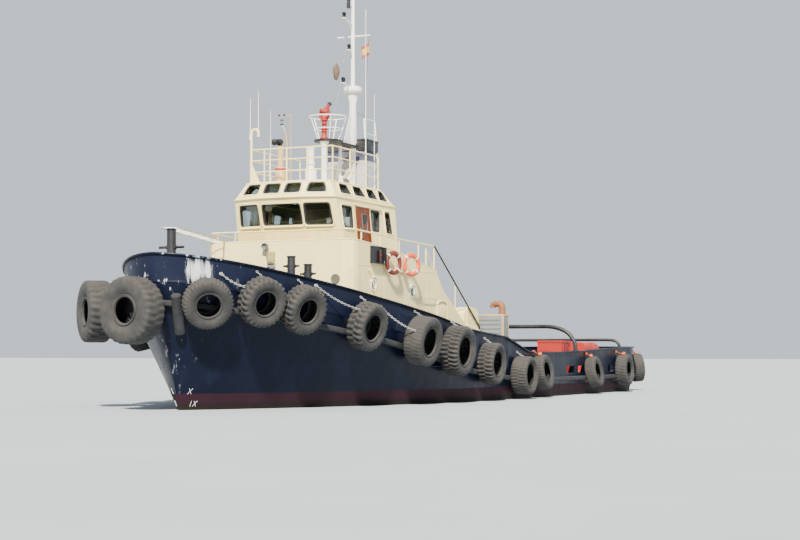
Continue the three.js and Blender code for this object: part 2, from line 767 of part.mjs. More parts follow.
function makeDeckhouse() {
  const outer = plate(housePlan(0), "z", 0, COAMING_Z);
  const room = plate(housePlan(HOUSE.wall), "z", -100, UPPER_DECK_Z - HOUSE.wall);
  const well = plate(housePlan(COAMING_T, HOUSE.aft - 500), "z", UPPER_DECK_Z, COAMING_Z + 100);
  const above = [...COAMING_LINE, [HOUSE.front + 400, 6000], [HOUSE.aft - 400, 6000]];
  above.unshift([HOUSE.aft - 400, COAMING_LINE[0][1]]);
  above.splice(above.length - 2, 0, [HOUSE.front + 400, COAMING_Z]);
  let house = cut(outer, room, well, plate(above, "y", -3000, 3000));
  const low = [...FASHION_LINE, [-900, 0], [HOUSE.aft + 50, 0]];
  const wing = plate(low, "y", HOUSE.half - COAMING_T, HOUSE.half);
  house = join(house, wing, mirrored(wing));
  house = cut(house, inwardDoorway);
  for (const [x, z] of HOUSE_PORTHOLES) {
    house = cut(house, bar([x, -3000, z], [x, 3000, z], PORTHOLE_R, PORTHOLE_R, 16));
  }
  for (const y of [FRONT_PORTHOLE.y, -FRONT_PORTHOLE.y]) {
    const { z, r } = FRONT_PORTHOLE;
    house = cut(house, bar([HOUSE.front - 400, y, z], [HOUSE.front + 400, y, z], r, r, 16));
  }
  return onDeck(house);
}

// Engine casing with its skylight, between the fashion plates
const CASING_WALL = 60;
const CASING_DOOR = { half: 350, foot: 1150, top: 2850 };
const LEAF_T = 50;
const HINGE_R = 20;
const LUG_LENGTH = 45;

// Two lugs that hold a hinge pin at its ends a and b, with an arm each to the wall
function hingeLugs(a, b, arm) {
  const along = new THREE.Vector3(...b).sub(new THREE.Vector3(...a)).normalize();
  const bore = bar(a, b, HINGE_R + 2, HINGE_R + 2, 10);
  const lug = (at, way) => {
    const next = at.map((v, i) => v + way * LUG_LENGTH * along.getComponent(i));
    const middle = at.map((v, i) => v + way * 22 * along.getComponent(i));
    const wall = middle.map((v, i) => v + arm[i]);
    return join(bar(at, next, HINGE_R + 14, HINGE_R + 14, 10), bar(middle, wall, 16, 16, 6));
  };
  return [cut(lug(a, 1), bore), cut(lug(b, -1), bore)];
}

// A hinge pin from a to b, with a collar that rides on the lug at a
function hingePin(a, b) {
  const along = new THREE.Vector3(...b).sub(new THREE.Vector3(...a)).normalize().toArray();
  const low = a.map((v, i) => v + (LUG_LENGTH + GAP) * along[i]);
  const high = a.map((v, i) => v + (LUG_LENGTH + 16) * along[i]);
  return join(bar(a, b, HINGE_R, HINGE_R, 10), bar(low, high, HINGE_R + 12, HINGE_R + 12, 10));
}

const CASING_HINGE = [CASING.aft - 45, CASING_DOOR.half + 22];
const casingPin = (z) => [...CASING_HINGE, z];
const CASING_PIN = [casingPin(CASING_DOOR.foot + 100), casingPin(CASING_DOOR.top - 100)];

function makeCasing() {
  const { aft, front, half, top } = CASING;
  const outer = box(aft, front - GAP, -half, half, 500, top);
  const edge = half - CASING_WALL;
  const room = box(aft + CASING_WALL, front - CASING_WALL, -edge, edge, 400, top - CASING_WALL);
  const { half: y, foot, top: head } = CASING_DOOR;
  const doorway = box(aft - 100, aft + 100, -y, y, foot, head);
  const skylight = plate(
    [
      [-900, top - 10],
      [-900, top + 180],
      [0, top + 520],
      [900, top + 180],
      [900, top - 10],
    ],
    "x",
    200,
    2100,
  );
  return join(cut(outer, room, doorway, inwardDoorway), skylight, ...hingeLugs(...CASING_PIN, [50, 34, 0]));
}
add("engine_casing", onDeck(makeCasing()), CREAM);

function makeCasingDoor() {
  const { half, foot, top } = CASING_DOOR;
  const x = CASING.aft - 20;
  const leaf = box(x, x + LEAF_T, -half + 8, half - 8, foot + 8, top - 8);
  const pin = hingePin(...CASING_PIN);
  const strap = box(x - 40, x + 1, half - 120, half + 22, foot + 300, foot + 360);
  const strapHigh = strap.translate([0, 0, top - foot - 660]);
  const handle = box(x - 50, x + 1, -half + 60, -half + 180, foot + 850, foot + 885);
  return join(leaf, pin, strap, strapHigh, handle);
}
add("casing_door", makeCasingDoor(), CREAM);

// Stair from the aft deck up to the upper deck, with its sloping handrail
const STAIR = { top: HOUSE.aft - 40, foot: -300, inner: 1440, outer: 2030, steps: 9 };

function makeStair() {
  const z0 = deckAt(STAIR.foot) - 50;
  const z1 = UPPER_DECK_Z - 150;
  const side = [
    [STAIR.foot, z0],
    [STAIR.foot + 240, z0],
    [STAIR.top, z1],
    [STAIR.top, z1 + 150],
    [STAIR.top - 90, z1 + 150],
  ];
  const stringers = [
    plate(side, "y", STAIR.inner, STAIR.inner + 30),
    plate(side, "y", STAIR.outer - 30, STAIR.outer),
  ];
  const treads = [];
  for (let i = 1; i < STAIR.steps; i++) {
    const share = i / STAIR.steps;
    const x = STAIR.foot + 150 + share * (STAIR.top - STAIR.foot - 150);
    const z = z0 + share * (z1 - z0) + 60;
    treads.push(box(x - 130, x + 70, STAIR.inner + 10, STAIR.outer - 10, z, z + 35));
  }
  const rail = pipe(
    [
      [STAIR.top - 250, STAIR.outer - 15, z1 - 100],
      [STAIR.top - 250, STAIR.outer - 15, 5000],
      [STAIR.foot + 150, STAIR.outer - 15, 2050],
      [STAIR.foot + 150, STAIR.outer - 15, z0 + 60],
    ],
    24,
  );
  return onDeck(join(...stringers, ...treads, rail));
}
add("stair_port", makeStair(), CREAM);
add("stair_starboard", mirrored(makeStair()), CREAM);

// Vent box with a hooded top at the aft end of each fashion plate
const VENT_BOX = { aft: -880, front: 400, inner: 2060, top: 2900, hood: 260 };

function makeVentBox() {
  const { aft, front, inner, top, hood } = VENT_BOX;
  const middle = (aft + front) / 2;
  const outline = [[aft, 500], [front, 500], [front, top]];
  for (let i = 1; i < 6; i++) {
    const a = (i / 6) * Math.PI;
    outline.push([middle + ((front - aft) / 2) * Math.cos(a), top + hood * Math.sin(a)]);
  }
  outline.push([aft, top]);
  return onDeck(plate(outline, "y", inner, HOUSE.half - COAMING_T + 20));
}

const deckhouse = join(makeDeckhouse(), makeVentBox(), mirrored(makeVentBox()));
add("deckhouse", deckhouse, CREAM);

// Wheelhouse: hollow walls that lean out to the front, with a sloping band of sky windows
// under the roof. Rows run from the floor up.
const WHEELHOUSE = [
  { z: UPPER_DECK_Z + GAP, aft: 4500, corner: 8080, front: 8300, half: 1930, face: 760 },
  { z: 6280, aft: 4500, corner: 8740, front: 9050, half: 1750, face: 700 },
  { z: ROOF_Z, aft: 4950, corner: 8520, front: 8720, half: 1460, face: 560 },
];
const WALL = 90;
const BAND_WALL = 70;

// The plan of a wheelhouse row, in from its walls by inset
function wheelhousePlan(row, inset, z = row.z) {
  const port = [
    [row.front - inset, row.face - inset * 0.2],
    [row.corner - inset, row.half - inset],
    [row.aft + inset, row.half - inset],
  ];
  const starboard = port.map(([x, y]) => [x, -y]).reverse();
  return [...port, ...starboard].map(([x, y]) => [x, y, z]);
}

// A solid with the plan of row a below and of row b above
function leaning(a, b, inset, below = 0, above = 0) {
  const low = wheelhousePlan(a, inset, a.z + below);
  const high = wheelhousePlan(b, inset, b.z + above);
  return wheelhouseSkin(low, high);
}

function wheelhouseSkin(low, high) {
  const order = [0, 1, 2, 3, 4, 5];
  const faces = [];
  for (const i of order) {
    const j = (i + 1) % 6;
    faces.push([low[i], low[j], high[j]], [low[i], high[j], high[i]]);
  }
  for (let i = 1; i < 5; i++) {
    faces.push([low[0], low[i + 1], low[i]], [high[0], high[i], high[i + 1]]);
  }
  return fromFaces(faces);
}

const [FLOOR, KNUCKLE, TOP] = WHEELHOUSE;
// Side windows: x of their corners at the sill and at the head
const SIDE_Z = [5400, 6020];
const SIDE_WINDOWS = [
  [7690, 8290, 7700, 8390],
  [5840, 6330, 5730, 6340],
  [4880, 5310, 4990, 5360],
];
const WHEELHOUSE_DOOR = { aft: 6560, front: 7420, foot: UPPER_DECK_Z + 60, top: 6110 };

// A window-shaped tool through the side walls: its lower and upper corners along x
function sideTool(x0, x1, u0, u1, z0, z1) {
  const outline = [[x0, z0], [x1, z0], [u1, z1], [u0, z1]];
  return plate(outline, "y", 1000, 2400);
}

// The front windows: y of their corners at the sill and at the head
const FRONT_Z = [5460, 6080];
const FRONT_WINDOWS = [
  [-1620, -860, -1550, -830],
  [-670, 640, -640, 630],
  [770, 1560, 790, 1530],
];

// The doors slide aft outside the walls, in a guide at their top and one at their foot.
const LEAF_OUT = [8, 46];
const LIP_OUT = [54, 64];
const GUIDE = { aft: 5600, front: 7500, high: [6080, 6160], low: [FLOOR.z, FLOOR.z + 70] };
const SHELF_T = 14;
const outside = (from, to) => cut(leaning(FLOOR, KNUCKLE, -to), leaning(FLOOR, KNUCKLE, -from, -60, 60));

function makeDoorGuides() {
  const { aft, front, high, low } = GUIDE;
  const zone = (z0, z1) => box(aft, front, 1000, 2400, z0, z1);
  const lip = outside(...LIP_OUT);
  const shelf = outside(-40, LIP_OUT[1]);
  return join(
    lip.intersect(zone(...high)),
    shelf.intersect(zone(high[1] - 30, high[1])),
    lip.intersect(zone(...low)),
    shelf.intersect(zone(low[0], low[0] + SHELF_T)),
  );
}

function makeWheelhouseWalls() {
  const outer = leaning(FLOOR, KNUCKLE, 0);
  const inner = leaning(FLOOR, KNUCKLE, WALL, -50, 50);
  let walls = cut(outer, inner);
  for (const [x0, x1, u0, u1] of SIDE_WINDOWS) {
    const tool = sideTool(x0, x1, u0, u1, ...SIDE_Z);
    walls = cut(walls, tool, mirrored(tool));
  }
  const { aft, front, foot, top } = WHEELHOUSE_DOOR;
  const doorway = sideTool(aft, front, aft, front, foot, top);
  walls = cut(walls, doorway, mirrored(doorway));
  for (const [y0, y1, v0, v1] of FRONT_WINDOWS) {
    const outline = [[y0, FRONT_Z[0]], [y1, FRONT_Z[0]], [v1, FRONT_Z[1]], [v0, FRONT_Z[1]]];
    walls = cut(walls, plate(outline, "x", 7900, 9400));
  }
  const aftWindow = box(4300, 4800, -700, 700, ...SIDE_Z);
  const guides = makeDoorGuides();
  return join(cut(walls, aftWindow), guides, mirrored(guides));
}
add("wheelhouse_walls", makeWheelhouseWalls(), CREAM);

// Sky windows: y, or x on the sides, of their corners at the sill and at the head
const SKY_Z = [6430, 6720];
const SKY_FRONT = [
  [110, 610, 120, 590],
  [860, 1420, 860, 1300],
];
const SKY_SIDE = [
  [7530, 8220, 7540, 8020],
  [6530, 7250, 6590, 7090],
  [5660, 6290, 5690, 6120],
  [4930, 5480, 5000, 5260],
];

function makeWheelhouseRoof() {
  const band = { ...KNUCKLE, z: KNUCKLE.z + GAP };
  const outer = leaning(band, TOP, 0);
  const inner = leaning(band, TOP, BAND_WALL, -50, -60);
  let roof = cut(outer, inner);
  const skyTool = ([a0, a1, b0, b1], axis, from, to) =>
    plate([[a0, SKY_Z[0]], [a1, SKY_Z[0]], [b1, SKY_Z[1]], [b0, SKY_Z[1]]], axis, from, to);
  for (const row of SKY_FRONT) {
    const tool = skyTool(row, "x", 8100, 9400);
    roof = cut(roof, tool, mirrored(tool));
  }
  for (const row of SKY_SIDE) {
    const tool = skyTool(row, "y", 1250, 2400);
    roof = cut(roof, tool, mirrored(tool));
  }
  return roof;
}
add("wheelhouse_roof", makeWheelhouseRoof(), WHITE);

// Glazing: a band of glass inside the walls behind each row of windows
const GLASS_T = 12;

function glassBand(a, b, wall, rise, z0, z1) {
  const slice = box(0, 12000, -4000, 4000, z0, z1);
  const outer = leaning(a, b, wall + GAP, -50, rise);
  const inner = leaning(a, b, wall + GLASS_T, -50, rise);
  return cut(outer, inner).intersect(slice);
}
const doorClear = box(
  WHEELHOUSE_DOOR.aft - 60,
  WHEELHOUSE_DOOR.front + 60,
  -3000,
  3000,
  5000,
  6245,
);
const lowerGlass = cut(glassBand(FLOOR, KNUCKLE, WALL, 50, 5340, 6270), doorClear);
add("glazing_lower", lowerGlass, GLASS);
const skyBand = glassBand({ ...KNUCKLE, z: KNUCKLE.z + GAP }, TOP, BAND_WALL, -60, 6300, 6730);
add("glazing_sky", skyBand, GLASS);

// Sliding door on each side of the wheelhouse
function wheelhouseDoor() {
  const { aft, front, foot, top } = WHEELHOUSE_DOOR;
  const leaf = outside(...LEAF_OUT).intersect(
    box(aft - 30, front + 30, 1000, 2400, GUIDE.low[0] + SHELF_T + GAP, top + 10),
  );
  const handle = outside(LEAF_OUT[1] - 6, LEAF_OUT[1] + 36).intersect(
    box(aft + 40, aft + 75, 1000, 2400, 5060, 5280),
  );
  return join(leaf, handle);
}
add("wheelhouse_door_port", wheelhouseDoor(), WOOD);
add("wheelhouse_door_starboard", mirrored(wheelhouseDoor()), WOOD);

// Inside the wheelhouse: steering console and two chairs
const FLOOR_Z = UPPER_DECK_Z + GAP;
const console_ = join(
  box(7150, 7650, -1150, 1150, FLOOR_Z, 5150),
  plate([[7150, 5140], [7650, 5140], [7650, 5360]], "y", -1150, 1150),
  bar([7130, 0, 5000], [7180, 0, 5000], 230, 230, 14),
);

function makeChair(y) {
  const x = 6450;
  return join(
    bar([x, y, FLOOR_Z], [x, y, 4750], 60, 60, 10),
    bar([x, y, FLOOR_Z], [x, y, FLOOR_Z + 40], 230, 230, 12),
    box(x - 240, x + 240, y - 240, y + 240, 4740, 4870),
    box(x - 270, x - 170, y - 230, y + 230, 4860, 5620),
  );
}
const plinth = box(6100, 7600, -1000, 1000, FLOOR_Z, FLOOR_Z + 60);
add("helm", join(console_, makeChair(620), makeChair(-620), plinth), GREY);

// Rails of the upper deck, on the coaming
const RAIL_R = 24;
const RAIL_LINE = [
  [3050, 5080],
  [5780, 5140],
  [9120, 5250],
];

// The sloping rail over each fashion plate, from the upper rail down to the aft deck
const SLOPING_RAIL = [
  [-940, 2430],
  [3050, 5060],
];

function makeUpperRails() {
  const y = HOUSE.half - COAMING_T / 2;
  const top = (x) => heightOn(RAIL_LINE, x);
  const corner = HOUSE.corner - COAMING_T / 2;
  const xf = HOUSE.front - COAMING_T / 2;
  const arc = [0, 1, 2].map((i) => {
    const a = (i / 2) * (Math.PI / 2);
    return [xf - corner + corner * Math.sin(a), y - corner + corner * Math.cos(a), top(9100)];
  });
  const port = [[3050, y, top(3050)], [5780, y, top(5780)], ...arc];
  const starboard = port.map(([px, py, pz]) => [px, -py, pz]).reverse();
  const rail = pipe([...port, ...starboard], RAIL_R, 4);
  const posts = [];
  for (const x of [3050, 4300, 5780, 7200, 8500]) {
    for (const side of [1, -1]) {
      const foot = heightOn(COAMING_LINE, x) - 20;
      posts.push(bar([x, side * y, foot], [x, side * y, top(x) + 5], 20, 20, 4));
    }
  }
  for (const py of [-1500, 0, 1500]) {
    posts.push(bar([xf, py, COAMING_Z - 20], [xf, py, top(9100) + 5], 20, 20, 4));
  }
  for (const side of [1, -1]) {
    const out = side * (y + 30);
    const slope = (x) => heightOn(SLOPING_RAIL, x);
    posts.push(bar([3050, out, slope(3050)], [-940, out, slope(-940)], RAIL_R, RAIL_R, 4));
    for (const x of [1260, 200, -860]) {
      const foot = heightOn([...FASHION_LINE].reverse(), x) - 20;
      posts.push(bar([x, side * y, foot], [x, side * y, slope(x) + 5], 20, 20, 4));
    }
  }
  return cut(join(rail, ...posts), deckhouse.translate([0, 0, GAP]));
}
add("upper_deck_rails", makeUpperRails(), CREAM);

// Rails round the wheelhouse roof: three heights on upright posts
const ROOF_RAIL = { front: 8290, aft: 5080, half: 1425, heights: [380, 740, 1080] };
const RAIL_POSTS = { x: [7110, 5970, 5080], y: [-960, -170, 540] };

function makeRoofRails() {
  const { front, aft, half, heights } = ROOF_RAIL;
  const plan = [[aft, half], [front, half], [front, -half], [aft, -half]];
  const pieces = heights.map((h) => pipe(plan.map(([x, y]) => [x, y, ROOF_Z + h]), 20, 4));
  const places = [
    [front, half],
    [front, -half],
    ...RAIL_POSTS.x.flatMap((x) => [[x, half], [x, -half]]),
    ...RAIL_POSTS.y.map((y) => [front, y]),
  ];
  for (const [x, y] of places) {
    pieces.push(bar([x, y, ROOF_Z + GAP], [x, y, ROOF_Z + heights[2] + 10], 24, 24, 4));
  }
  return join(...pieces);
}

// Swan-neck vent on a gusseted post at the starboard front corner, with two whip aerials
const SWAN_NECK = { reach: 125, centreZ: 8400, r: 42 };

function makeSwanNeck() {
  const [x, y] = [ROOF_RAIL.front, -ROOF_RAIL.half];
  const { reach, centreZ, r } = SWAN_NECK;
  const bend = [0, 1, 2, 3, 4].map((i) => {
    const a = (i / 4) * Math.PI;
    return [x, y + reach - reach * Math.cos(a), centreZ + reach * Math.sin(a)];
  });
  const post = pipe([[x, y, ROOF_Z + GAP], ...bend, [x, y + 2 * reach, centreZ - 100]], r, 8);
  const gusset = plate([[y, ROOF_Z + GAP], [y + 330, ROOF_Z + GAP], [y, 7500]], "x", x - 10, x + 10);
  const whip = bar([x + 20, y - 30, 8200], [x + 20, y - 30, 9520], 14, 8, 6);
  const innerWhip = bar([x - 20, y + 2 * reach - 10, 8320], [x - 20, y + 2 * reach - 20, 9740], 17, 12, 6);
  return join(post, gusset, whip, innerWhip);
}
add("roof_rails", join(makeRoofRails(), makeSwanNeck()), CREAM);

// Funnel to starboard of the mast, with its black cap and two exhaust pipes
const FUNNEL_FLARE = 60;

function makeFunnel() {
  const { aft, front, port, starboard, cap, top } = FUNNEL;
  const body = box(aft, front, starboard, port, UPPER_DECK_Z + GAP, cap + 10);
  const capPiece = box(
    aft - FUNNEL_FLARE,
    front + FUNNEL_FLARE / 2,
    starboard - FUNNEL_FLARE,
    port + FUNNEL_FLARE,
    cap,
    top,
  );
  const pipes = [-620, -80].map((y) => bar([aft + 260, y, top - 50], [aft + 230, y, top + 40], 130, 130, 12));
  return join(body, capPiece, ...pipes);
}
add("funnel", makeFunnel(), CREAM);

// Mast: a thick trunk, a slim upper mast, the radar's cone, lantern brackets and the yard
const MAST_TOP = 14500;
const RADAR_Z = 10150;
const LANTERNS = [
  [720, 10430],
  [290, 11600],
  [670, 12600],
];

function makeMast() {
  const pieces = [
    bar([MAST_X, 0, UPPER_DECK_Z + GAP], [MAST_X, 0, 8600], 105, 105, 10),
    bar([MAST_X, 0, 8500], [MAST_X, 0, 9800], 140, 115, 10),
    bar([MAST_X, 0, 9750], [MAST_X, 0, RADAR_Z + 10], 110, 190, 10),
    bar([MAST_X, 0, RADAR_Z - 200], [MAST_X, 0, MAST_TOP], 75, 45, 10),
    plate([[4000, 8450], [4740, 8420], [4560, 8800], [4400, 9150], [4100, 9790]], "y", -12, 10),
  ];
  for (const [reach, z] of LANTERNS) {
    pieces.push(bar([MAST_X, 0, z - 60], [MAST_X + reach, 0, z - 10], 22, 22, 4));
    pieces.push(bar([MAST_X + reach, 0, z - 25], [MAST_X + reach, 0, z + 10], 90, 90, 6));
    pieces.push(bar([MAST_X + reach, 0, z], [MAST_X + reach, 0, z + 190], 70, 70, 6));
  }
  pieces.push(bar([MAST_X + 330, 0, 12980], [MAST_X + 330, 0, 13420], 60, 60, 6));
  pieces.push(bar([MAST_X, 0, 13120], [MAST_X + 330, 0, 13120], 20, 20, 4));
  pieces.push(bar([MAST_X, -560, 12080], [MAST_X, 620, 12080], 28, 28, 4));
  return join(...pieces);
}

function makeRadar() {
  const drum = turned(
    [
      [88, 0],
      [240, 0],
      [310, 70],
      [310, 190],
      [230, 260],
      [88, 260],
      [88, 0],
    ],
    [MAST_X, 0, RADAR_Z],
    [0, 0, 1],
    14,
  );
  return drum;
}
add("mast", join(makeMast(), makeRadar()), WHITE);

// Monitor platform over the wheelhouse roof: a riser, a disc, a walkway to the mast and a
// ring rail that widens upwards
const RING_SIDES = 10;
const RING_X = MONITOR_X - 240; // the ring rail and its disc stand a little aft of the monitor

function makePlatform() {
  const z = PLATFORM_Z;
  const pieces = [
    bar([MONITOR_X, 0, ROOF_Z + GAP], [MONITOR_X, 0, z - 60], 100, 100, 12),
    bar([RING_X, 0, z - 80], [RING_X, 0, z], 440, 440, 16),
    box(MAST_X + 106, MONITOR_X, -280, 280, z - 80, z),
    bar([MAST_X + 500, 0, ROOF_Z + GAP], [MAST_X + 500, 0, z - 60], 60, 60, 8).intersect(
      box(4960, 5200, -500, 500, 6000, 9000),
    ),
  ];
  const lowR = 340;
  const highR = 570;
  const top = z + 740;
  const around = (r, zz) => {
    const points = [];
    for (let i = 0; i < RING_SIDES; i++) {
      const a = (i / RING_SIDES) * 2 * Math.PI;
      points.push([RING_X + r * Math.cos(a), r * Math.sin(a), zz]);
    }
    return points;
  };
  pieces.push(pipe(around(highR, top), 20, 4, true));
  pieces.push(pipe(around((lowR + highR) / 2, z + 350), 16, 4, true));
  for (let i = 0; i < 5; i++) {
    const a = ((i + 0.5) / 5) * 2 * Math.PI;
    const foot = [RING_X + lowR * Math.cos(a), lowR * Math.sin(a), z - 40];
    const head = [RING_X + highR * Math.cos(a), highR * Math.sin(a), top];
    pieces.push(bar(foot, head, 20, 20, 4));
  }
  return join(...pieces);
}

// Fire monitor: a fixed column, a head that trains round and a barrel that elevates. At rest
// the barrel points aft and up.
const MONITOR_HEAD_Z = PLATFORM_Z + 660;
const ELEVATION_Z = MONITOR_HEAD_Z + 240;
const TRUNNION_R = 40;
const BARREL_TILT = 38;
const column = join(
  bar([MONITOR_X, 0, PLATFORM_Z - 20], [MONITOR_X, 0, MONITOR_HEAD_Z - GAP], 85, 85, 12),
  bar([MONITOR_X, 0, PLATFORM_Z - 20], [MONITOR_X, 0, PLATFORM_Z + 40], 150, 150, 12),
  bar([MONITOR_X, 0, MONITOR_HEAD_Z - 50], [MONITOR_X, 0, MONITOR_HEAD_Z - GAP], 130, 130, 12),
);
add("monitor_platform", join(makePlatform(), column), CREAM);
const cheek = box(MONITOR_X - 110, MONITOR_X + 110, 110, 150, MONITOR_HEAD_Z + 20, ELEVATION_Z + 85);
const trunnionBore = bar(
  [MONITOR_X, -300, ELEVATION_Z],
  [MONITOR_X, 300, ELEVATION_Z],
  TRUNNION_R + 2,
  TRUNNION_R + 2,
  14,
);
const head = join(
  bar([MONITOR_X, 0, MONITOR_HEAD_Z], [MONITOR_X, 0, MONITOR_HEAD_Z + 70], 130, 130, 12),
  box(MONITOR_X - 110, MONITOR_X + 110, -150, 150, MONITOR_HEAD_Z + 20, MONITOR_HEAD_Z + 70),
  cheek,
  mirrored(cheek),
);
add("monitor_head", cut(head, trunnionBore), RED);
const barrel = join(
  bar([95, 0, 0], [-380, 0, 0], 72, 55, 12),
  bar([-360, 0, 0], [-470, 0, 0], 62, 75, 12),
  bar([0, -150, 0], [0, 150, 0], TRUNNION_R, TRUNNION_R, 14),
  bar([0, -104, 0], [0, 104, 0], 70, 70, 12),
)
  .rotate([0, BARREL_TILT, 0])
  .translate([MONITOR_X, 0, ELEVATION_Z]);
add("monitor_barrel", barrel, RED);

// Searchlight on its pedestal on the roof
const LIGHT = { x: 7300, y: -930, z: 8090 };
add(
  "searchlight_post",
  join(
    bar([LIGHT.x, LIGHT.y, ROOF_Z + GAP], [LIGHT.x, LIGHT.y, 7420], 180, 165, 12),
    bar([LIGHT.x, LIGHT.y, 7400], [LIGHT.x, LIGHT.y, LIGHT.z - GAP], 95, 95, 10),
  ),
  CREAM,
);
add(
  "searchlight",
  join(
    bar([LIGHT.x, LIGHT.y, LIGHT.z], [LIGHT.x, LIGHT.y, LIGHT.z + 60], 45, 45, 10),
    bar([LIGHT.x, LIGHT.y + 60, LIGHT.z + 140], [LIGHT.x, LIGHT.y - 280, LIGHT.z + 140], 85, 100, 14),
  ),
  BLACK,
);

// White vent canister on the roof, with a wide foot and a rim
const canister = (z0, z1, r) => bar([6500, -270, z0], [6500, -270, z1], r, r, 14);
add(
  "roof_canister",
  join(
    canister(ROOF_Z + GAP, 7440, 185),
    canister(7430, 8110, 105),
    canister(7560, 7610, 140),
    canister(8060, 8110, 130),
  ),
  WHITE,
);

// Sidelight box on each side of the upper deck
function makeSidelight() {
  const y = HOUSE.half + GAP;
  const backing = box(7050, 7960, y, y + 40, 4280, 4800);
  const shelf = box(7050, 7960, y, y + 140, 4280, 4310);
  const end = box(7050, 7090, y, y + 140, 4280, 4800);
  const lamp = bar([7230, y + 90, 4300], [7230, y + 90, 4520], 45, 45, 12);
  return join(backing, shelf, end, lamp);
}
add("sidelight_port", makeSidelight(), BLACK);
add("sidelight_starboard", mirrored(makeSidelight()), BLACK);

// Two lifebuoys on a bracket outside the coaming: their places, and where they face in degrees
// from ahead
const BUOY_R = 375;
const BUOY_Z = 4340;
const BUOYS = [
  { x: 5500, y: 2800, heading: 66 },
  { x: 6680, y: 2720, heading: 74 },
];

const BUOY_PROFILE = [
  [BUOY_R - 120, -45],
  [BUOY_R - 30, -50],
  [BUOY_R, 0],
  [BUOY_R - 30, 50],
  [BUOY_R - 120, 45],
  [BUOY_R - 120, -45],
];

function makeLifebuoys() {
  const pieces = [];
  const low = BUOY_Z - 240;
  for (const { x, y, heading } of BUOYS) {
    const a = THREE.MathUtils.degToRad(heading);
    pieces.push(turned(BUOY_PROFILE, [x, y, BUOY_Z], [Math.cos(a), Math.sin(a), 0], 12));
    pieces.push(bar([x, y, low], [x, HOUSE.half + GAP, low], 22, 22, 4));
    pieces.push(bar([x, y, BUOY_Z - 355], [x, y, low + 10], 22, 22, 4));
  }
  const back = HOUSE.half + 24;
  pieces.push(bar([BUOYS[0].x, back, low], [BUOYS[1].x, back, low], 22, 22, 4));
  return join(...pieces);
}
add("lifebuoys_port", makeLifebuoys(), ORANGE);
add("lifebuoys_starboard", mirrored(makeLifebuoys()), ORANGE);

// Bitts: round posts through a crossbar
function post(x, y, top, r, barHalf, barBelow, barR) {
  return join(
    bar([x, y, deckAt(x) - 100], [x, y, top], r, r, 10),
    bar([x, y, top], [x, y, top + 25], r + 25, r + 25, 10),
    bar([x, y - barHalf, top - barBelow], [x, y + barHalf, top - barBelow], barR, barR, 6),
  );
}
const bowBitt = onDeck(post(15050, 0, 4890, 125, 390, 480, 35));
add("bitt_bow", bowBitt, BLACK);

function foredeckBitts() {
  const posts = [12050, 11050].map((x) => post(x, 2050, heightOn(DECK, x) + 1500, 115, 250, 260, 30));
  const base = box(10750, 12350, 1850, 2250, 1800, 3400).intersect(
    hullShell.translate([0, 0, 40]),
  );
  return onDeck(join(...posts, base));
}
add("bitts_port", foredeckBitts(), BLACK);
add("bitts_starboard", mirrored(foredeckBitts()), BLACK);

// Anchor windlass on the foredeck
const WINDLASS = { x: 13300, z: 3350, shaft: 80 };

function makeWindlass() {
  const { x, z, shaft } = WINDLASS;
  const bearing = box(x - 150, x + 150, -60, 60, 3000, z + 160);
  const bore = bar([x, -1000, z], [x, 1000, z], shaft + 2, shaft + 2, 12);
  const bearings = [-520, 0, 520].map((y) => bearing.translate([0, y, 0]));
  return cut(join(box(x - 400, x + 400, -600, 600, 2500, 3050), ...bearings), bore);
}

function makeWindlassDrum() {
  const { x, z, shaft } = WINDLASS;
  const drum = (y0, y1, r, r2) => bar([x, y0, z], [x, y1, z], r, r2, 12);
  return join(
    drum(-850, 850, shaft, shaft),
    drum(-400, -60 - GAP, 260, 260),
    drum(60 + GAP, 400, 260, 260),
    drum(650, 850, 130, 200),
    drum(-850, -650, 200, 130),
  );
}
add("windlass", onDeck(makeWindlass()), GREY);
add("windlass_drum", makeWindlassDrum(), BLACK);

// Boarding ladder that lies from the bow bitt to the front rail
const LADDER_RUNGS = 10;

function makeLadder() {
  const a = [15150, -40, 4936];
  const b = [8960, -2180, 4974];
  const side = [75, -210, 0];
  const shift = (p, k) => p.map((v, i) => v + k * side[i]);
  const rails = [1, -1].map((k) => bar(shift(a, k), shift(b, k), 26, 26, 4));
  const rungs = [];
  for (let i = 0; i < LADDER_RUNGS; i++) {
    const p = a.map((v, j) => v + ((i + 0.5) / LADDER_RUNGS) * (b[j] - v));
    rungs.push(bar(shift(p, 1), shift(p, -1), 16, 16, 4));
  }
  const lift = [0, 0, GAP];
  return cut(join(...rails, ...rungs), bowBitt.translate(lift), deckhouse.translate(lift));
}
add("boarding_ladder", makeLadder(), STEEL);

// Machinery box on the aft deck with a gooseneck vent, whose line is given as [y, z]
const GOOSENECK_X = -3650;
const GOOSENECK_R = 115;
const GOOSENECK = [
  [2300, 2900],
  [2300, 3260],
  [2210, 3350],
  [2050, 3350],
  [1960, 3240],
];
const machinery = join(
  box(-3900, -3350, 950, 2460, 500, 2960),
  pipe(GOOSENECK.map(([y, z]) => [GOOSENECK_X, y, z]), GOOSENECK_R, 8),
);
add("machinery_box", onDeck(machinery), GREY);

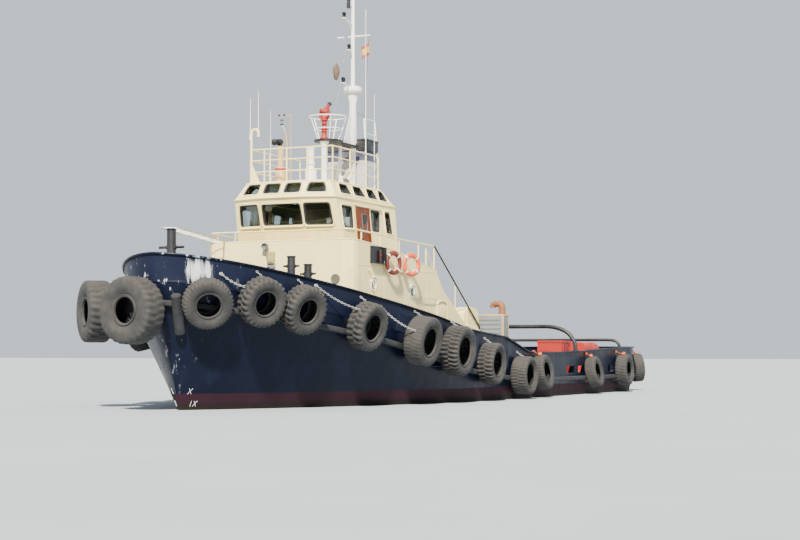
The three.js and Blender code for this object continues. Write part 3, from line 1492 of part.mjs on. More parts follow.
// Tow post with a hook that swings on an upright pin
const HOOK_Z = 1650;
const HOOK_PIN_R = 38;
const hookBore = bar(
  [TOW_HOOK_X, 0, HOOK_Z - 300],
  [TOW_HOOK_X, 0, HOOK_Z + 300],
  HOOK_PIN_R + 2,
  HOOK_PIN_R + 2,
  12,
);
const jaw = box(TOW_HOOK_X - 70, TOW_HOOK_X + 200, -110, 110, HOOK_Z + 90, HOOK_Z + 150);
const towPost = join(
  box(TOW_HOOK_X + 150, TOW_HOOK_X + 750, -350, 350, 500, HOOK_Z + 350),
  jaw,
  jaw.translate([0, 0, -240]),
);
add("tow_post", onDeck(cut(towPost, hookBore)), BLACK);
const hook = join(
  bar([TOW_HOOK_X, 0, HOOK_Z - 90 + GAP], [TOW_HOOK_X, 0, HOOK_Z + 90 - GAP], 80, 80, 14),
  bar([TOW_HOOK_X, 0, HOOK_Z - 160], [TOW_HOOK_X, 0, HOOK_Z + 160], HOOK_PIN_R, HOOK_PIN_R, 12),
  box(TOW_HOOK_X - 520, TOW_HOOK_X, -50, 50, HOOK_Z - 60, HOOK_Z + 60),
  box(TOW_HOOK_X - 640, TOW_HOOK_X - 510, -50, 50, HOOK_Z - 60, HOOK_Z + 180),
  box(TOW_HOOK_X - 520, TOW_HOOK_X - 380, -50, 50, HOOK_Z + 130, HOOK_Z + 180),
);
add("tow_hook", hook, BLACK);

// Tow arches: tubes across the aft deck that keep the tow line clear of it
function makeArch(x, height, r, bend) {
  const foot = sheerAt(x) - 20;
  const y = HALF_BEAM - 130;
  const points = [
    [x, y, foot],
    [x, y, foot + (height - foot) * 0.35],
    [x, y - bend * 0.35, height - (height - foot) * 0.2],
    [x, y - bend, height],
  ];
  const port = points;
  const starboard = points.map(([px, py, pz]) => [px, -py, pz]).reverse();
  return cut(pipe([...port, ...starboard], r, 8), bulwark.translate([0, 0, GAP]));
}
add("tow_arch_forward", makeArch(-6150, 2560, 75, 900), BLACK);
add("tow_arch_aft", makeArch(-11650, 2090, 60, 300), BLACK);

// Deck locker on the port side, with a hinged lid
const LOCKER = { aft: -8250, front: -7250, inner: 2350, outer: 3350, top: 1960, wall: 40 };

function makeLocker() {
  const { aft, front, inner, outer, top, wall } = LOCKER;
  const shell = box(aft, front, inner, outer, 500, top);
  const room = box(aft + wall, front - wall, inner + wall, outer - wall, 900, top + 10);
  return join(onDeck(cut(shell, room)), ...hingeLugs(...LOCKER_PIN, [0, 42, -50]));
}

const lockerPin = (x) => [x, LOCKER.inner - 40, LOCKER.top + 30];
const LOCKER_PIN = [lockerPin(LOCKER.aft + 100), lockerPin(LOCKER.front - 100)];

function makeLockerLid() {
  const { aft, front, inner, outer, top } = LOCKER;
  return join(
    box(aft - 20, front + 20, inner + 8, outer + 20, top + GAP, top + 60),
    hingePin(...LOCKER_PIN),
    box(aft + 180, front - 180, inner - 45, inner + 10, top + 15, top + 45),
  );
}
add("locker", makeLocker(), RED);
add("locker_lid", makeLockerLid(), RED);

// Rounded red cover over gear on the aft deck, with a sloping end
const COVER = { aft: -12300, front: -10150, inner: 2450, outer: 3350, top: 1990, round: 300 };

function makeCover() {
  const { aft, front, inner, outer, top, round } = COVER;
  const outline = [[inner, 500], [outer, 500]];
  for (let i = 0; i <= 3; i++) {
    const a = (i / 3) * (Math.PI / 2);
    outline.push([outer - round + round * Math.cos(a), top - round + round * Math.sin(a)]);
  }
  for (let i = 0; i <= 3; i++) {
    const a = (i / 3) * (Math.PI / 2);
    outline.push([inner + round - round * Math.sin(a), top - round + round * Math.cos(a)]);
  }
  const slope = [[aft - 10, 2100], [aft - 10, 1300], [aft + 420, 2100]];
  return onDeck(cut(plate(outline, "x", aft, front), plate(slope, "y", 2000, 4000)));
}
add("gear_cover", makeCover(), RED);

// Bollards on the aft deck
function aftBitts() {
  const posts = [-13250, -12650].map((x) => post(x, 3250, 1750, 110, 220, 200, 28));
  const base = box(-13500, -12400, 3050, 3450, 500, 860);
  return onDeck(join(...posts, base));
}
add("bitts_aft_port", aftBitts(), BLACK);
add("bitts_aft_starboard", mirrored(aftBitts()), BLACK);

export default tug;
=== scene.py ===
"""A harbour tug afloat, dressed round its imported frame. Metres: +X forward, +Y to port, +Z up,
with the water at z = 0. Every surface is worked out as an array of points."""

import math

import bmesh
import bpy
import numpy as np
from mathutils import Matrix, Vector


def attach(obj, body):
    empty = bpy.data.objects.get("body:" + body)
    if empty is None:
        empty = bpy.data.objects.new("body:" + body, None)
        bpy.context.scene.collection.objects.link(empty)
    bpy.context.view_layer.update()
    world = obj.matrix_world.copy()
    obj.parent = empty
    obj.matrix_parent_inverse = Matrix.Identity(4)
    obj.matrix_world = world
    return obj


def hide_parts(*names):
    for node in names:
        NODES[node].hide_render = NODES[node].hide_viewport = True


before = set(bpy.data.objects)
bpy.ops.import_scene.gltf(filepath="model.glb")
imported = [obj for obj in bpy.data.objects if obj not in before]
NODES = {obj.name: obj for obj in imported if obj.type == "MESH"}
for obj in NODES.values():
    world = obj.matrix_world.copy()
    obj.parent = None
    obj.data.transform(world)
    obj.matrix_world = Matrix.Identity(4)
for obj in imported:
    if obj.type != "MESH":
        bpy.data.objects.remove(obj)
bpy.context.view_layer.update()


# Shapes

POLE_SPREAD = 1e-9  # points as close as this are one point, a pole
WELD_DISTANCE = 1e-5
SMOOTH_ANGLE = math.radians(38)


def grid(points, close_u=False, close_v=False):
    """Joins the points of an (m, n, 3) array with their neighbours. A row or column whose points
    all coincide becomes a pole."""
    points = np.asarray(points, float)
    m, n = points.shape[:2]
    index = np.arange(m * n).reshape(m, n)
    for line in (0, -1):
        if np.ptp(points[line], axis=0).max() < POLE_SPREAD:
            index[line] = index[line, 0]
        if np.ptp(points[:, line], axis=0).max() < POLE_SPREAD:
            index[:, line] = index[0, line]
    if close_u:
        index = np.vstack([index, index[:1]])
    if close_v:
        index = np.hstack([index, index[:, :1]])
    corners = [index[:-1, :-1], index[1:, :-1], index[1:, 1:], index[:-1, 1:]]
    return points.reshape(-1, 3), np.stack(corners, -1).reshape(-1, 4)


def fan(ring):
    """A flat lid: the ring's points joined to their mean."""
    ring = np.asarray(ring, float)
    count = len(ring)
    index = np.arange(count)
    after = (index + 1) % count
    quads = np.stack([np.full(count, count), index, after, after], -1)
    return np.vstack([ring, ring.mean(0)]), quads


def joined(*surfaces):
    """Several surfaces as one."""
    starts = np.cumsum([0] + [len(points) for points, _ in surfaces])
    points = np.vstack([points for points, _ in surfaces])
    return points, np.vstack([quads + start for (_, quads), start in zip(surfaces, starts)])


def tube_grid(rings):
    """A closed skin over rings of points, with a lid at each end."""
    return joined(grid(rings, close_v=True), fan(rings[0]), fan(rings[-1]))


def unit(v):
    v = np.asarray(v, float)
    return v / np.maximum(np.linalg.norm(v, axis=-1, keepdims=True), 1e-12)


def sweep(path, section, up=(0, 0, 1), closed=False, scale=None):
    """Carries a section of (out, up) pairs along a path: point = path + out * side + up * rise,
    where side is the path's direction crossed with up, and stretches it at bends."""
    path = np.asarray(path, float)
    if closed:
        before = unit(path - np.roll(path, 1, 0))
        after = unit(np.roll(path, -1, 0) - path)
    else:
        step = unit(np.diff(path, axis=0))
        before = np.vstack([step[:1], step])
        after = np.vstack([step, step[-1:]])
    along = unit(before + after)
    rise = np.broadcast_to(np.asarray(up, float), path.shape)
    rise = unit(rise - (rise * along).sum(1, keepdims=True) * along)
    side = np.cross(along, rise)
    section = np.asarray(section, float)
    size = np.ones(len(path)) if scale is None else np.asarray(scale, float)
    offset = section[None, :, :1] * side[:, None] + section[None, :, 1:] * rise[:, None]
    offset = offset * size[:, None, None]
    bend = unit(after - before)
    stretch = 1 / np.maximum((before * along).sum(1), 0.4) - 1
    offset = offset + (offset * bend[:, None]).sum(-1, keepdims=True) * bend[:, None] * stretch[:, None, None]
    rings = path[:, None] + offset
    if closed:
        return grid(rings, close_u=True, close_v=True)
    return tube_grid(rings)


def circle(r, sides=12):
    a = np.arange(sides) * 2 * math.pi / sides
    return np.stack([r * np.cos(a), r * np.sin(a)], -1)


def tube(path, r, sides=12, closed=False):
    """A round bar of radius r, or of one radius per point, along a path that lies near a plane."""
    path = np.asarray(path, float)
    if len(path) > 2:
        flat = np.linalg.svd(path - path.mean(0))[2][2]
    else:
        way = unit(path[1] - path[0])
        flat = np.eye(3)[np.argmin(np.abs(way))]
    scale = None if np.isscalar(r) else r
    return sweep(path, circle(r if np.isscalar(r) else 1.0, sides), flat, closed, scale)


def rounded(points, r, steps=5, closed=True):
    """Turns the corners of a path into arcs: (1-t)^2 a + 2t(1-t) p + t^2 c between a and c, both r
    from the corner p."""
    points = np.asarray(points, float)
    back = np.roll(points, 1, 0) - points
    ahead = np.roll(points, -1, 0) - points
    reach_back = np.minimum(r, 0.49 * np.linalg.norm(back, axis=1, keepdims=True))
    reach_ahead = np.minimum(r, 0.49 * np.linalg.norm(ahead, axis=1, keepdims=True))
    a = points + unit(back) * reach_back
    c = points + unit(ahead) * reach_ahead
    t = np.linspace(0, 1, steps)[None, :, None]
    arcs = (1 - t) ** 2 * a[:, None] + 2 * t * (1 - t) * points[:, None] + t**2 * c[:, None]
    if closed:
        return arcs.reshape(-1, points.shape[1])
    return np.vstack([points[:1], arcs[1:-1].reshape(-1, points.shape[1]), points[-1:]])


def bent_bar(points, r, bend, steps=4, sides=10):
    """A round bar of radius r through points, its corners bent to arcs that begin bend away."""
    return tube(rounded(points, bend, steps, closed=False), r, sides)


def turned(profile, base, axis=(0, 0, 1), sides=40, ring=False):
    """A profile of (radius, height) pairs turned about an axis through base."""
    profile = np.asarray(profile, float)
    axis = unit(axis)
    across = unit(np.cross(axis, np.eye(3)[np.argmin(np.abs(axis))]))
    other = np.cross(axis, across)
    a = np.arange(sides) * 2 * math.pi / sides
    around = np.cos(a)[:, None] * across + np.sin(a)[:, None] * other
    points = np.asarray(base) + profile[:, None, :1] * around[None] + profile[:, None, 1:] * axis
    return grid(points, close_u=ring, close_v=True)


def cylinder(r, low, high, base, axis=(0, 0, 1), sides=24):
    """A plain cylinder from low to high along an axis through base."""
    return turned([(0, low), (r, low), (r, high), (0, high)], base, axis, sides)


def rounded_rectangle(w, h, r, steps=5):
    corners = np.array([[-w / 2, -h / 2], [w / 2, -h / 2], [w / 2, h / 2], [-w / 2, h / 2]])
    return rounded(corners, r, steps)


def slab(centre, u, v, size, thick, corner=0.02, bevel=0.006):
    """A rounded rectangle, size = (along u, along v), that rises by thick along u x v from centre.
    Its edges are quarter rounds of radius bevel."""
    u, v = unit(u), unit(v)
    turn = np.linspace(0, math.pi / 2, 4)
    inset = bevel * (1 - np.sin(turn))
    rise = bevel * (1 - np.cos(turn))
    insets = np.r_[inset, inset[::-1]]
    rises = np.r_[rise, thick - rise[::-1]]
    rings = [
        rounded_rectangle(size[0] - 2 * i, size[1] - 2 * i, max(corner - i, 0.001)) @ np.array([u, v])
        + np.asarray(centre)
        + z * np.cross(u, v)
        for i, z in zip(insets, rises)
    ]
    return tube_grid(np.array(rings))


def block(x0, x1, y0, y1, z0, z1, corner=0.01, bevel=0.008):
    """An upright box with rounded edges."""
    centre = ((x0 + x1) / 2, (y0 + y1) / 2, z0)
    return slab(centre, (1, 0, 0), (0, 1, 0), (x1 - x0, y1 - y0), z1 - z0, corner, bevel)


def mirrored(surface):
    """The same surface on the other side of the centreline."""
    points, quads = surface
    return points * np.array([1, -1, 1]), quads[:, ::-1]


def both(surface):
    return joined(surface, mirrored(surface))


def unchanged(surface):
    return surface


SIDES = (("port", unchanged), ("starboard", mirrored))  # what a port surface becomes on each side


def mesh_of(name, surface):
    """Puts a surface into a mesh. A quad that meets a pole becomes a triangle."""
    points, quads = surface
    keep = quads != np.roll(quads, 1, axis=1)
    whole = keep.sum(1) >= 3
    quads, keep = quads[whole], keep[whole]
    totals = keep.sum(1)
    used, loops = np.unique(quads[keep], return_inverse=True)
    mesh = bpy.data.meshes.new(name)
    mesh.vertices.add(len(used))
    mesh.vertices.foreach_set("co", points[used].ravel())
    mesh.loops.add(len(loops))
    mesh.loops.foreach_set("vertex_index", loops.ravel().astype(np.int32))
    mesh.polygons.add(len(totals))
    starts = np.cumsum(totals) - totals
    mesh.polygons.foreach_set("loop_start", starts.astype(np.int32))
    mesh.polygons.foreach_set("loop_total", totals.astype(np.int32))
    mesh.update(calc_edges=True)
    mesh.validate()
    return mesh


def placed(name, data):
    """A new object at the origin, in the scene."""
    thing = bpy.data.objects.new(name, data)
    bpy.context.scene.collection.objects.link(thing)
    return thing


def piece(name, material, *surfaces, body="hull", replaces=(), slot=None, inside=None):
    """A named piece of the tug that rides on a body; its slot, named or found in SLOTS, is worked out
    but not used. Where inside is a (material, faces) pair, those faces get that material."""
    mesh = mesh_of(name, joined(*surfaces))
    if inside:
        mesh.polygons.foreach_set("material_index", inside[1].astype(np.int32))
    work = bmesh.new()
    work.from_mesh(mesh)
    bmesh.ops.remove_doubles(work, verts=work.verts, dist=WELD_DISTANCE)
    bmesh.ops.recalc_face_normals(work, faces=work.faces)
    work.to_mesh(mesh)
    work.free()
    mesh.polygons.foreach_set("use_smooth", np.ones(len(mesh.polygons), bool))
    mesh.set_sharp_from_angle(angle=SMOOTH_ANGLE)
    mesh.materials.append(material)
    if inside:
        mesh.materials.append(inside[0])
    thing = placed(name, mesh)
    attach(thing, body)
    if replaces:
        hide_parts(*replaces)
    slot = slot or SLOT_OF.get(material.name)


# Materials


def linear(code):
    """An sRGB hex colour as linear red, green, blue and alpha."""
    parts = [int(code[i : i + 2], 16) / 255 for i in (1, 3, 5)]
    return [c / 12.92 if c <= 0.04045 else ((c + 0.055) / 1.055) ** 2.4 for c in parts] + [1.0]


def add(tree, kind, *inputs, **settings):
    """Adds a shader node. Inputs are given in the node's own order, or by name: a setting that
    starts with a capital is an input, with _ for a space, and one in small letters is the node's
    own. A socket is linked, and a hex colour is made linear. Returns the node's first output."""
    node = tree.nodes.new("ShaderNode" + kind)
    values = dict(enumerate(inputs))
    for name, value in settings.items():
        if name[0].islower():
            setattr(node, name, value)
        else:
            values[name.replace("_", " ")] = value
    for key, value in values.items():
        if isinstance(value, bpy.types.NodeSocket):
            tree.links.new(value, node.inputs[key])
        elif isinstance(value, str):
            node.inputs[key].default_value = linear(value)
        else:
            node.inputs[key].default_value = value
    return node.outputs[0] if node.outputs else node


def split_of(tree, vector):
    """The outputs X, Y and Z of a vector."""
    node = tree.nodes.new("ShaderNodeSeparateXYZ")
    tree.links.new(vector, node.inputs[0])
    return node.outputs


def start(name):
    """An empty material, its tree, and its object coordinates whole and as X, Y and Z."""
    material = bpy.data.materials.new(name)
    material.use_nodes = True
    tree = material.node_tree
    tree.nodes.clear()
    place = tree.nodes.new("ShaderNodeTexCoord").outputs["Object"]
    return material, tree, place, split_of(tree, place)


SMOOTHLY = dict(interpolation_type="SMOOTHSTEP")  # how a MapRange rises from its low to its high


def cloud(tree, place, scale, low, high, amount=1.0, stretch=None, detail=6.0):
    """Cloudy patches: noise with scale blotches a metre, stretched by stretch, whose part between
    low and high rises smoothly from nothing to amount."""
    if stretch:
        place = add(tree, "Mapping", Vector=place, Scale=stretch)
    grain = add(tree, "TexNoise", Vector=place, Scale=scale, Detail=detail, Roughness=0.62)
    return add(tree, "MapRange", grain, low, high, 0.0, amount, **SMOOTHLY)


def sum_of(tree, *shares):
    """The sum of (value, weight) pairs."""
    total = None
    for value, weight in shares:
        part = add(tree, "Math", value, weight, operation="MULTIPLY")
        total = part if total is None else add(tree, "Math", total, part, operation="ADD")
    return total


def layers(tree, base, *coats):
    """A base colour under (share, colour) coats."""
    for share, color in coats:
        base = add(tree, "MixRGB", share, base, color)
    return base


def shade(tree, color, rough, height=None, depth=0.002, strength=0.6, **more):
    """The shader with its bump of depth metres, and the material's output."""
    settings = dict(Base_Color=color, Roughness=rough, **more)
    if height is not None:
        settings["Normal"] = add(tree, "Bump", Height=height, Distance=depth, Strength=strength)
    shader = add(tree, "BsdfPrincipled", **settings)
    add(tree, "OutputMaterial", Surface=shader)


def enamel(name, base, worn, rust, rust_share=0.35, rough=0.38, runs=0.5, depth=0.006):
    """Alkyd enamel brushed on steel plate: a soft gloss over slightly wavy plate, dull patches,
    dirt that runs down in 0.2 m streaks, and rust that breaks through in small spots."""
    material, tree, place, _ = start(name)
    dull = cloud(tree, place, 0.9, 0.35, 0.75)
    streaks = cloud(tree, place, 1.0, 0.54, 0.75, runs, (5.0, 5.0, 0.45))
    rusty = cloud(tree, place, 1.3, 0.665, 0.74, rust_share, (3.0, 3.0, 0.8), 9.0)
    color = layers(tree, base, (dull, worn), (streaks, worn), (rusty, rust))
    gloss = sum_of(tree, (dull, 0.14), (rusty, 0.4), (1.0, rough))
    wave = add(tree, "TexNoise", Vector=place, Scale=1.6, Detail=1.0)
    brush = add(tree, "TexNoise", Vector=place, Scale=60.0, Detail=3.0)
    shade(tree, color, gloss, sum_of(tree, (wave, 1.0), (brush, 0.03)), depth, 0.7)
    return material


def moulded(name, base, worn, rough=0.5, scale=8.0, grain=120.0, depth=0.0006):
    """Moulded or woven stuff: an even colour with faint handling patches and a fine grain, drawn
    8 mm coarse so that it shows."""
    material, tree, place, _ = start(name)
    patches = cloud(tree, place, scale, 0.3, 0.75)
    fine = add(tree, "TexNoise", Vector=place, Scale=grain, Detail=3.0)
    gloss = sum_of(tree, (patches, 0.14), (1.0, rough - 0.05))
    shade(tree, layers(tree, base, (patches, worn)), gloss, fine, depth, 0.5)
    return material


BOOT_TOP_Z = 0.44  # where the antifouling's edge shows above the water
SLIME_Z = 0.12  # the wet, weedy edge
STRAKE_HEIGHT = 1.15
PLATE_LENGTH = 2.4
FRAME_SPACING = 0.55


def topsides():
    """Navy alkyd enamel over welded plate: seams every 1.15 m and frames every 0.55 m show as
    faint ridges, salt has dulled the upper strakes, ropes and fenders have scraped the stem to
    bare primer and worn one pale patch by the bow tyres, and below 0.44 m the plate is coated
    with matt antifouling."""
    material, tree, place, split = start("navy_enamel")
    dull = cloud(tree, place, 0.7, 0.3, 0.72)
    runs = cloud(tree, place, 1.0, 0.55, 0.78, 0.5, (2.5, 2.5, 0.28))
    salt = add(tree, "MapRange", split["Z"], 1.8, 4.6, 0.0, 0.22, **SMOOTHLY)
    scrape = cloud(tree, place, 1.4, 0.6, 0.66, 0.9, (3.5, 3.5, 1.3), 9.0)
    bow = add(tree, "MapRange", split["X"], 14.3, 15.8, **SMOOTHLY)
    scuffs = add(tree, "Math", scrape, bow, operation="MULTIPLY")
    patch = add(tree, "Mapping", Vector=place, Location=(-20.75, -1.8, -6.0), Scale=(1.33, 1.33, 1.6))
    bared = add(tree, "TexGradient", gradient_type="SPHERICAL", Vector=patch)
    torn = cloud(tree, place, 1.6, 0.35, 0.7, 1.0, (4.0, 4.0, 0.7), 9.0)
    bare = add(tree, "MapRange", sum_of(tree, (bared, 1.4), (torn, 0.5)), 0.6, 1.05, 0.0, 0.9, **SMOOTHLY)
    rusty = cloud(tree, place, 1.1, 0.66, 0.74, 0.3, (2.2, 2.2, 0.5), 8.0)
    ragged = add(tree, "TexNoise", Vector=place, Scale=2.0, Detail=4.0)
    edge = sum_of(tree, (split["Z"], 1.0), (ragged, 0.05))
    boot = add(tree, "MapRange", edge, BOOT_TOP_Z + 0.015, BOOT_TOP_Z + 0.045, 1.0, 0.0, **SMOOTHLY)
    slime = add(tree, "MapRange", split["Z"], SLIME_Z, SLIME_Z + 0.12, 0.7, 0.0, **SMOOTHLY)
    bottom = layers(tree, "#29151f", (dull, "#351e28"), (slime, "#191a14"))
    color = layers(
        tree,
        "#0a0f20",
        (dull, "#0f1528"),
        (runs, "#1a2034"),
        (salt, "#272d42"),
        (scuffs, "#b9bcc3"),
        (bare, "#c9ccd2"),
        (rusty, "#3d2a24"),
        (boot, bottom),
    )
    plan = add(tree, "CombineXYZ", split["X"], split["Z"])
    seams = add(
        tree,
        "TexBrick",
        Vector=plan,
        Color1="#000000",
        Color2="#000000",
        Mortar="#ffffff",
        Scale=1.0,
        Mortar_Size=0.012,
        Mortar_Smooth=0.9,
        Brick_Width=PLATE_LENGTH,
        Row_Height=STRAKE_HEIGHT,
    )
    turn = add(tree, "Math", split["X"], round(2 * math.pi / FRAME_SPACING, 1), operation="MULTIPLY")
    frames = add(tree, "Math", turn, operation="SINE")
    wave = add(tree, "TexNoise", Vector=place, Scale=0.8, Detail=2.0)
    height = sum_of(tree, (wave, 1.2), (frames, 0.12), (seams, 0.35), (rusty, -0.2))
    gloss = sum_of(tree, (dull, 0.18), (boot, 0.35), (1.0, 0.27))
    shade(tree, color, gloss, height, 0.02, 0.55, Specular_IOR_Level=0.12)
    return material


def old_rubber(name, base, dusty, rough=0.84):
    """Vulcanised tyre rubber: grey with dust where it faces up, darker below, crazed by the sun
    in 25 mm cells."""
    material, tree, place, _ = start(name)
    facing = split_of(tree, tree.nodes.new("ShaderNodeNewGeometry").outputs["Normal"])
    patches = cloud(tree, place, 2.6, 0.3, 0.75, 0.7)
    top = add(tree, "MapRange", facing["Z"], 0.0, 1.0, 0.0, 0.55, **SMOOTHLY)
    cracks = add(tree, "TexVoronoi", feature="DISTANCE_TO_EDGE", Vector=place, Scale=38.0)
    cells = add(tree, "MapRange", cracks, 0.0, 0.12, **SMOOTHLY)
    fine = add(tree, "TexNoise", Vector=place, Scale=180.0)
    color = layers(tree, base, (patches, dusty), (top, dusty))
    gloss = sum_of(tree, (patches, 0.1), (1.0, rough))
    shade(tree, color, gloss, sum_of(tree, (cells, 1.0), (fine, 0.4)), 0.002, 0.5)
    return material


def bare_metal(name, base, worn, rough=0.35, scale=6.0, dirt="#4c4034", dirt_share=0.4):
    """Bare, cast or galvanised metal: a soft sheen broken by dull patches and dirt spots."""
    material, tree, place, _ = start(name)
    patches = cloud(tree, place, scale, 0.35, 0.75)
    spots = cloud(tree, place, scale * 3, 0.6, 0.72, dirt_share, None, 8.0)
    fine = add(tree, "TexNoise", Vector=place, Scale=90.0)
    gloss = sum_of(tree, (patches, 0.18), (spots, 0.3), (1.0, rough))
    shade(tree, layers(tree, base, (patches, worn), (spots, dirt)), gloss, fine, 0.001, 0.4, Metallic=0.9)
    return material


def marine_glass(name, tint, rough=0.03):
    """Toughened float glass: smooth and slightly green, with a film of dried salt."""
    material, tree, place, _ = start(name)
    salt = cloud(tree, place, 5.0, 0.4, 0.9)
    shade(tree, tint, sum_of(tree, (salt, 0.08), (1.0, rough)), None, Transmission_Weight=1.0, IOR=1.5)
    return material


def varnished(name, base, dark):
    """Varnished hardwood: upright grain lines about 15 mm apart and pores under a clear gloss."""
    material, tree, place, _ = start(name)
    lines = cloud(tree, place, 2.2, 0.3, 0.7, 1.0, (30.0, 30.0, 1.4), 8.0)
    gloss = sum_of(tree, (lines, 0.15), (1.0, 0.26))
    shade(tree, layers(tree, dark, (lines, base)), gloss, lines, 0.0015, 0.5, Specular_IOR_Level=0.3)
    return material


def banded_paint(name, bands, worn, rust):
    """Enamel in colours that change with height, (lowest height, colour) from the bottom up."""
    material, tree, place, split = start(name)
    color = bands[0][1]
    for z, paint in bands[1:]:
        above = add(tree, "MapRange", split["Z"], z - 0.01, z + 0.01, **SMOOTHLY)
        color = layers(tree, color, (above, paint))
    dull = cloud(tree, place, 0.9, 0.35, 0.75, 0.35)
    soot = cloud(tree, place, 1.0, 0.5, 0.75, 0.5, (5.0, 5.0, 0.5))
    rusty = cloud(tree, place, 1.5, 0.67, 0.74, 0.4, (3.0, 3.0, 0.8), 9.0)
    color = layers(tree, color, (dull, worn), (soot, worn), (rusty, rust))
    wave = add(tree, "TexNoise", Vector=place, Scale=1.6, Detail=1.0)
    shade(tree, color, sum_of(tree, (dull, 0.3), (rusty, 0.4), (1.0, 0.4)), wave, 0.006, 0.7)
    return material


NAVY = topsides()
CREAM = enamel("cream_enamel", "#f7e7a4", "#ecdc9c", "#8a5a38", 0.25, 0.36, 0.4, 0.008)
WHITE = enamel("white_enamel", "#f4f3ee", "#e0dfd6", "#9a6c4a", 0.2, 0.32, 0.35, 0.004)
BLACK = enamel("black_enamel", "#131417", "#2b2c30", "#5a3a28", 0.5, 0.42, 0.5, 0.003)
RED = enamel("red_enamel", "#a8241c", "#932f29", "#5d2d22", 0.4, 0.4, 0.4, 0.003)
GREY = enamel("grey_enamel", "#7b8082", "#6a6e70", "#6d4a34", 0.5, 0.5, 0.5, 0.004)
WEATHERED = enamel("weathered_grey", "#5d5f52", "#4c4e44", "#5a4634", 0.4, 0.6, 0.5, 0.003)
DECK_COAT = enamel("deck_coating", "#5d4a42", "#4a3d37", "#6e4a35", 0.5, 0.75, 0.3, 0.002)
BOTTOM = enamel("antifouling", "#4d2a33", "#3c2229", "#53392e", 0.5, 0.8, 0.3, 0.003)
BROWN = enamel("brown_enamel", "#8a5a3c", "#6f4730", "#4d2c1e", 0.6, 0.6, 0.5, 0.003)
TAN = enamel("tan_enamel", "#c9a877", "#b1915f", "#7a5030", 0.4, 0.45, 0.4, 0.003)
FUNNEL_PAINT = banded_paint(
    "funnel_enamel", [(0, "#b9b6bf"), (7.95, "#23244c"), (8.29, "#17181c")], "#8d8b90", "#5d4334"
)
TYRE = old_rubber("tyre_rubber", "#232425", "#454240")
# The tyres' inner walls get this darker rubber: painted shade inside each bore, where the sun does not reach.
LINER = old_rubber("tyre_liner_painted_shade", "#141517", "#1f2021")
BELT_RUBBER = old_rubber("belt_rubber", "#191a1e", "#303238")
BRONZE = bare_metal("cast_bronze", "#a9803f", "#7c6236", 0.35, 5.0, "#3c4a3a", 0.5)
STEEL = bare_metal("galvanised_steel", "#a2a6a8", "#83888b", 0.42, 7.0, "#7a5a44", 0.35)
ALUMINIUM = bare_metal("worn_aluminium", "#c3c7ca", "#a3a8ac", 0.36, 9.0, "#6d6a64", 0.2)
WIRE = bare_metal("rigging_wire", "#6d7072", "#54575a", 0.4)
CHAIN = enamel("galvanised_chain", "#a6a8a8", "#84837e", "#6f4a34", 0.6, 0.5, 0.4, 0.001)
TEAK = varnished("varnished_door", "#7a380a", "#4a2208")
GLASS = marine_glass("window_glass", "#dfeae8")
LENS = marine_glass("clear_lens", "#e8eeee", 0.1)
SEAL = moulded("window_rubber", "#1b1c1e", "#2a2b2d", 0.6)
ORANGE = moulded("orange_polyethylene", "#e0603a", "#cc5030", 0.45, 6.0)
MAROON = moulded("faded_red_polyethylene", "#74281f", "#5e201a", 0.5, 6.0)
TAPE = moulded("reflective_tape", "#e2e5e6", "#ccd0d2", 0.3)
VINYL = moulded("seat_shell_plastic", "#cfcabb", "#b8b2a2", 0.5, 10.0)
PLASTIC = moulded("black_plastic", "#17181a", "#242628", 0.45)
ROPE = moulded("polypropylene_rope", "#c2b89d", "#a1967a", 0.8, 12.0, 220.0, 0.002)
FADED = moulded("faded_yellow_plastic", "#a59d63", "#8c8560", 0.55, 8.0)
STRAP = moulded("orange_webbing", "#d8602c", "#a3522a", 0.75, 12.0, 260.0, 0.001)
LAMP_RED = moulded("red_lens", "#4a1614", "#5a201c", 0.15)
LAMP_GREEN = moulded("green_lens", "#10402a", "#164a32", 0.15)
DAY_SHAPE = moulded("day_shape_cloth", "#6f5646", "#54473f", 0.85)
MARK = enamel("white_draft_marks", "#dcdcd8", "#a5a7ac", "#6b4a3a", 0.5, 0.5, 0.4, 0.001)


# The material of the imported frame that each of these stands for
SLOTS = {
    "navy_paint": (NAVY,),
    "cream_paint": (CREAM, TAN, FADED),
    "white_paint": (WHITE, CHAIN, MARK, VINYL, TAPE, ROPE),
    "black_paint": (BLACK, SEAL, PLASTIC, DAY_SHAPE),
    "red_paint": (RED, BROWN),
    "grey_paint": (GREY, FUNNEL_PAINT, WEATHERED),
    "tyre_rubber": (TYRE, BELT_RUBBER),
    "orange_plastic": (STRAP, ORANGE, MAROON),
    "window_glass": (LENS, GLASS, LAMP_RED, LAMP_GREEN),
    "bare_steel": (ALUMINIUM, WIRE, STEEL),
    "varnished_wood": (TEAK,),
}
SLOT_OF = {material.name: slot for slot, materials in SLOTS.items() for material in materials}


def paint_node(material, *names):
    """Gives CAD nodes that stay in view a material."""
    for name in names:
        mesh = NODES[name].data
        mesh.materials.clear()
        mesh.materials.append(material)


# Lines of the hull, as (x, z) pairs

SHEER = [
    (-16.0, 1.85), (-11.9, 1.81), (-7.0, 1.66), (-3.1, 1.59), (-0.7, 1.62), (0.4, 1.88),
    (1.4, 2.11), (3.3, 2.23), (4.65, 2.34), (6.6, 2.67), (9.8, 3.16), (13.2, 3.74), (14.8, 4.03),
    (16.0, 4.23),
]
DECK = [(-16.0, 0.82), (-0.7, 0.78), (1.4, 1.0), (4.65, 1.35), (9.15, 2.25), (12.0, 2.75), (16.0, 3.48)]
KEEL = [
    (-16.0, -0.42), (-14.0, -0.56), (-12.0, -0.86), (-10.8, -1.3), (-9.4, -2.0), (-7.6, -2.6),
    (-5.5, -2.9), (16.0, -2.9),
]
BELT = [(-16.0, 0.56), (-0.7, 0.54), (1.4, 0.66), (4.65, 0.93), (9.3, 1.8), (12.4, 2.29), (16.0, 2.85)]
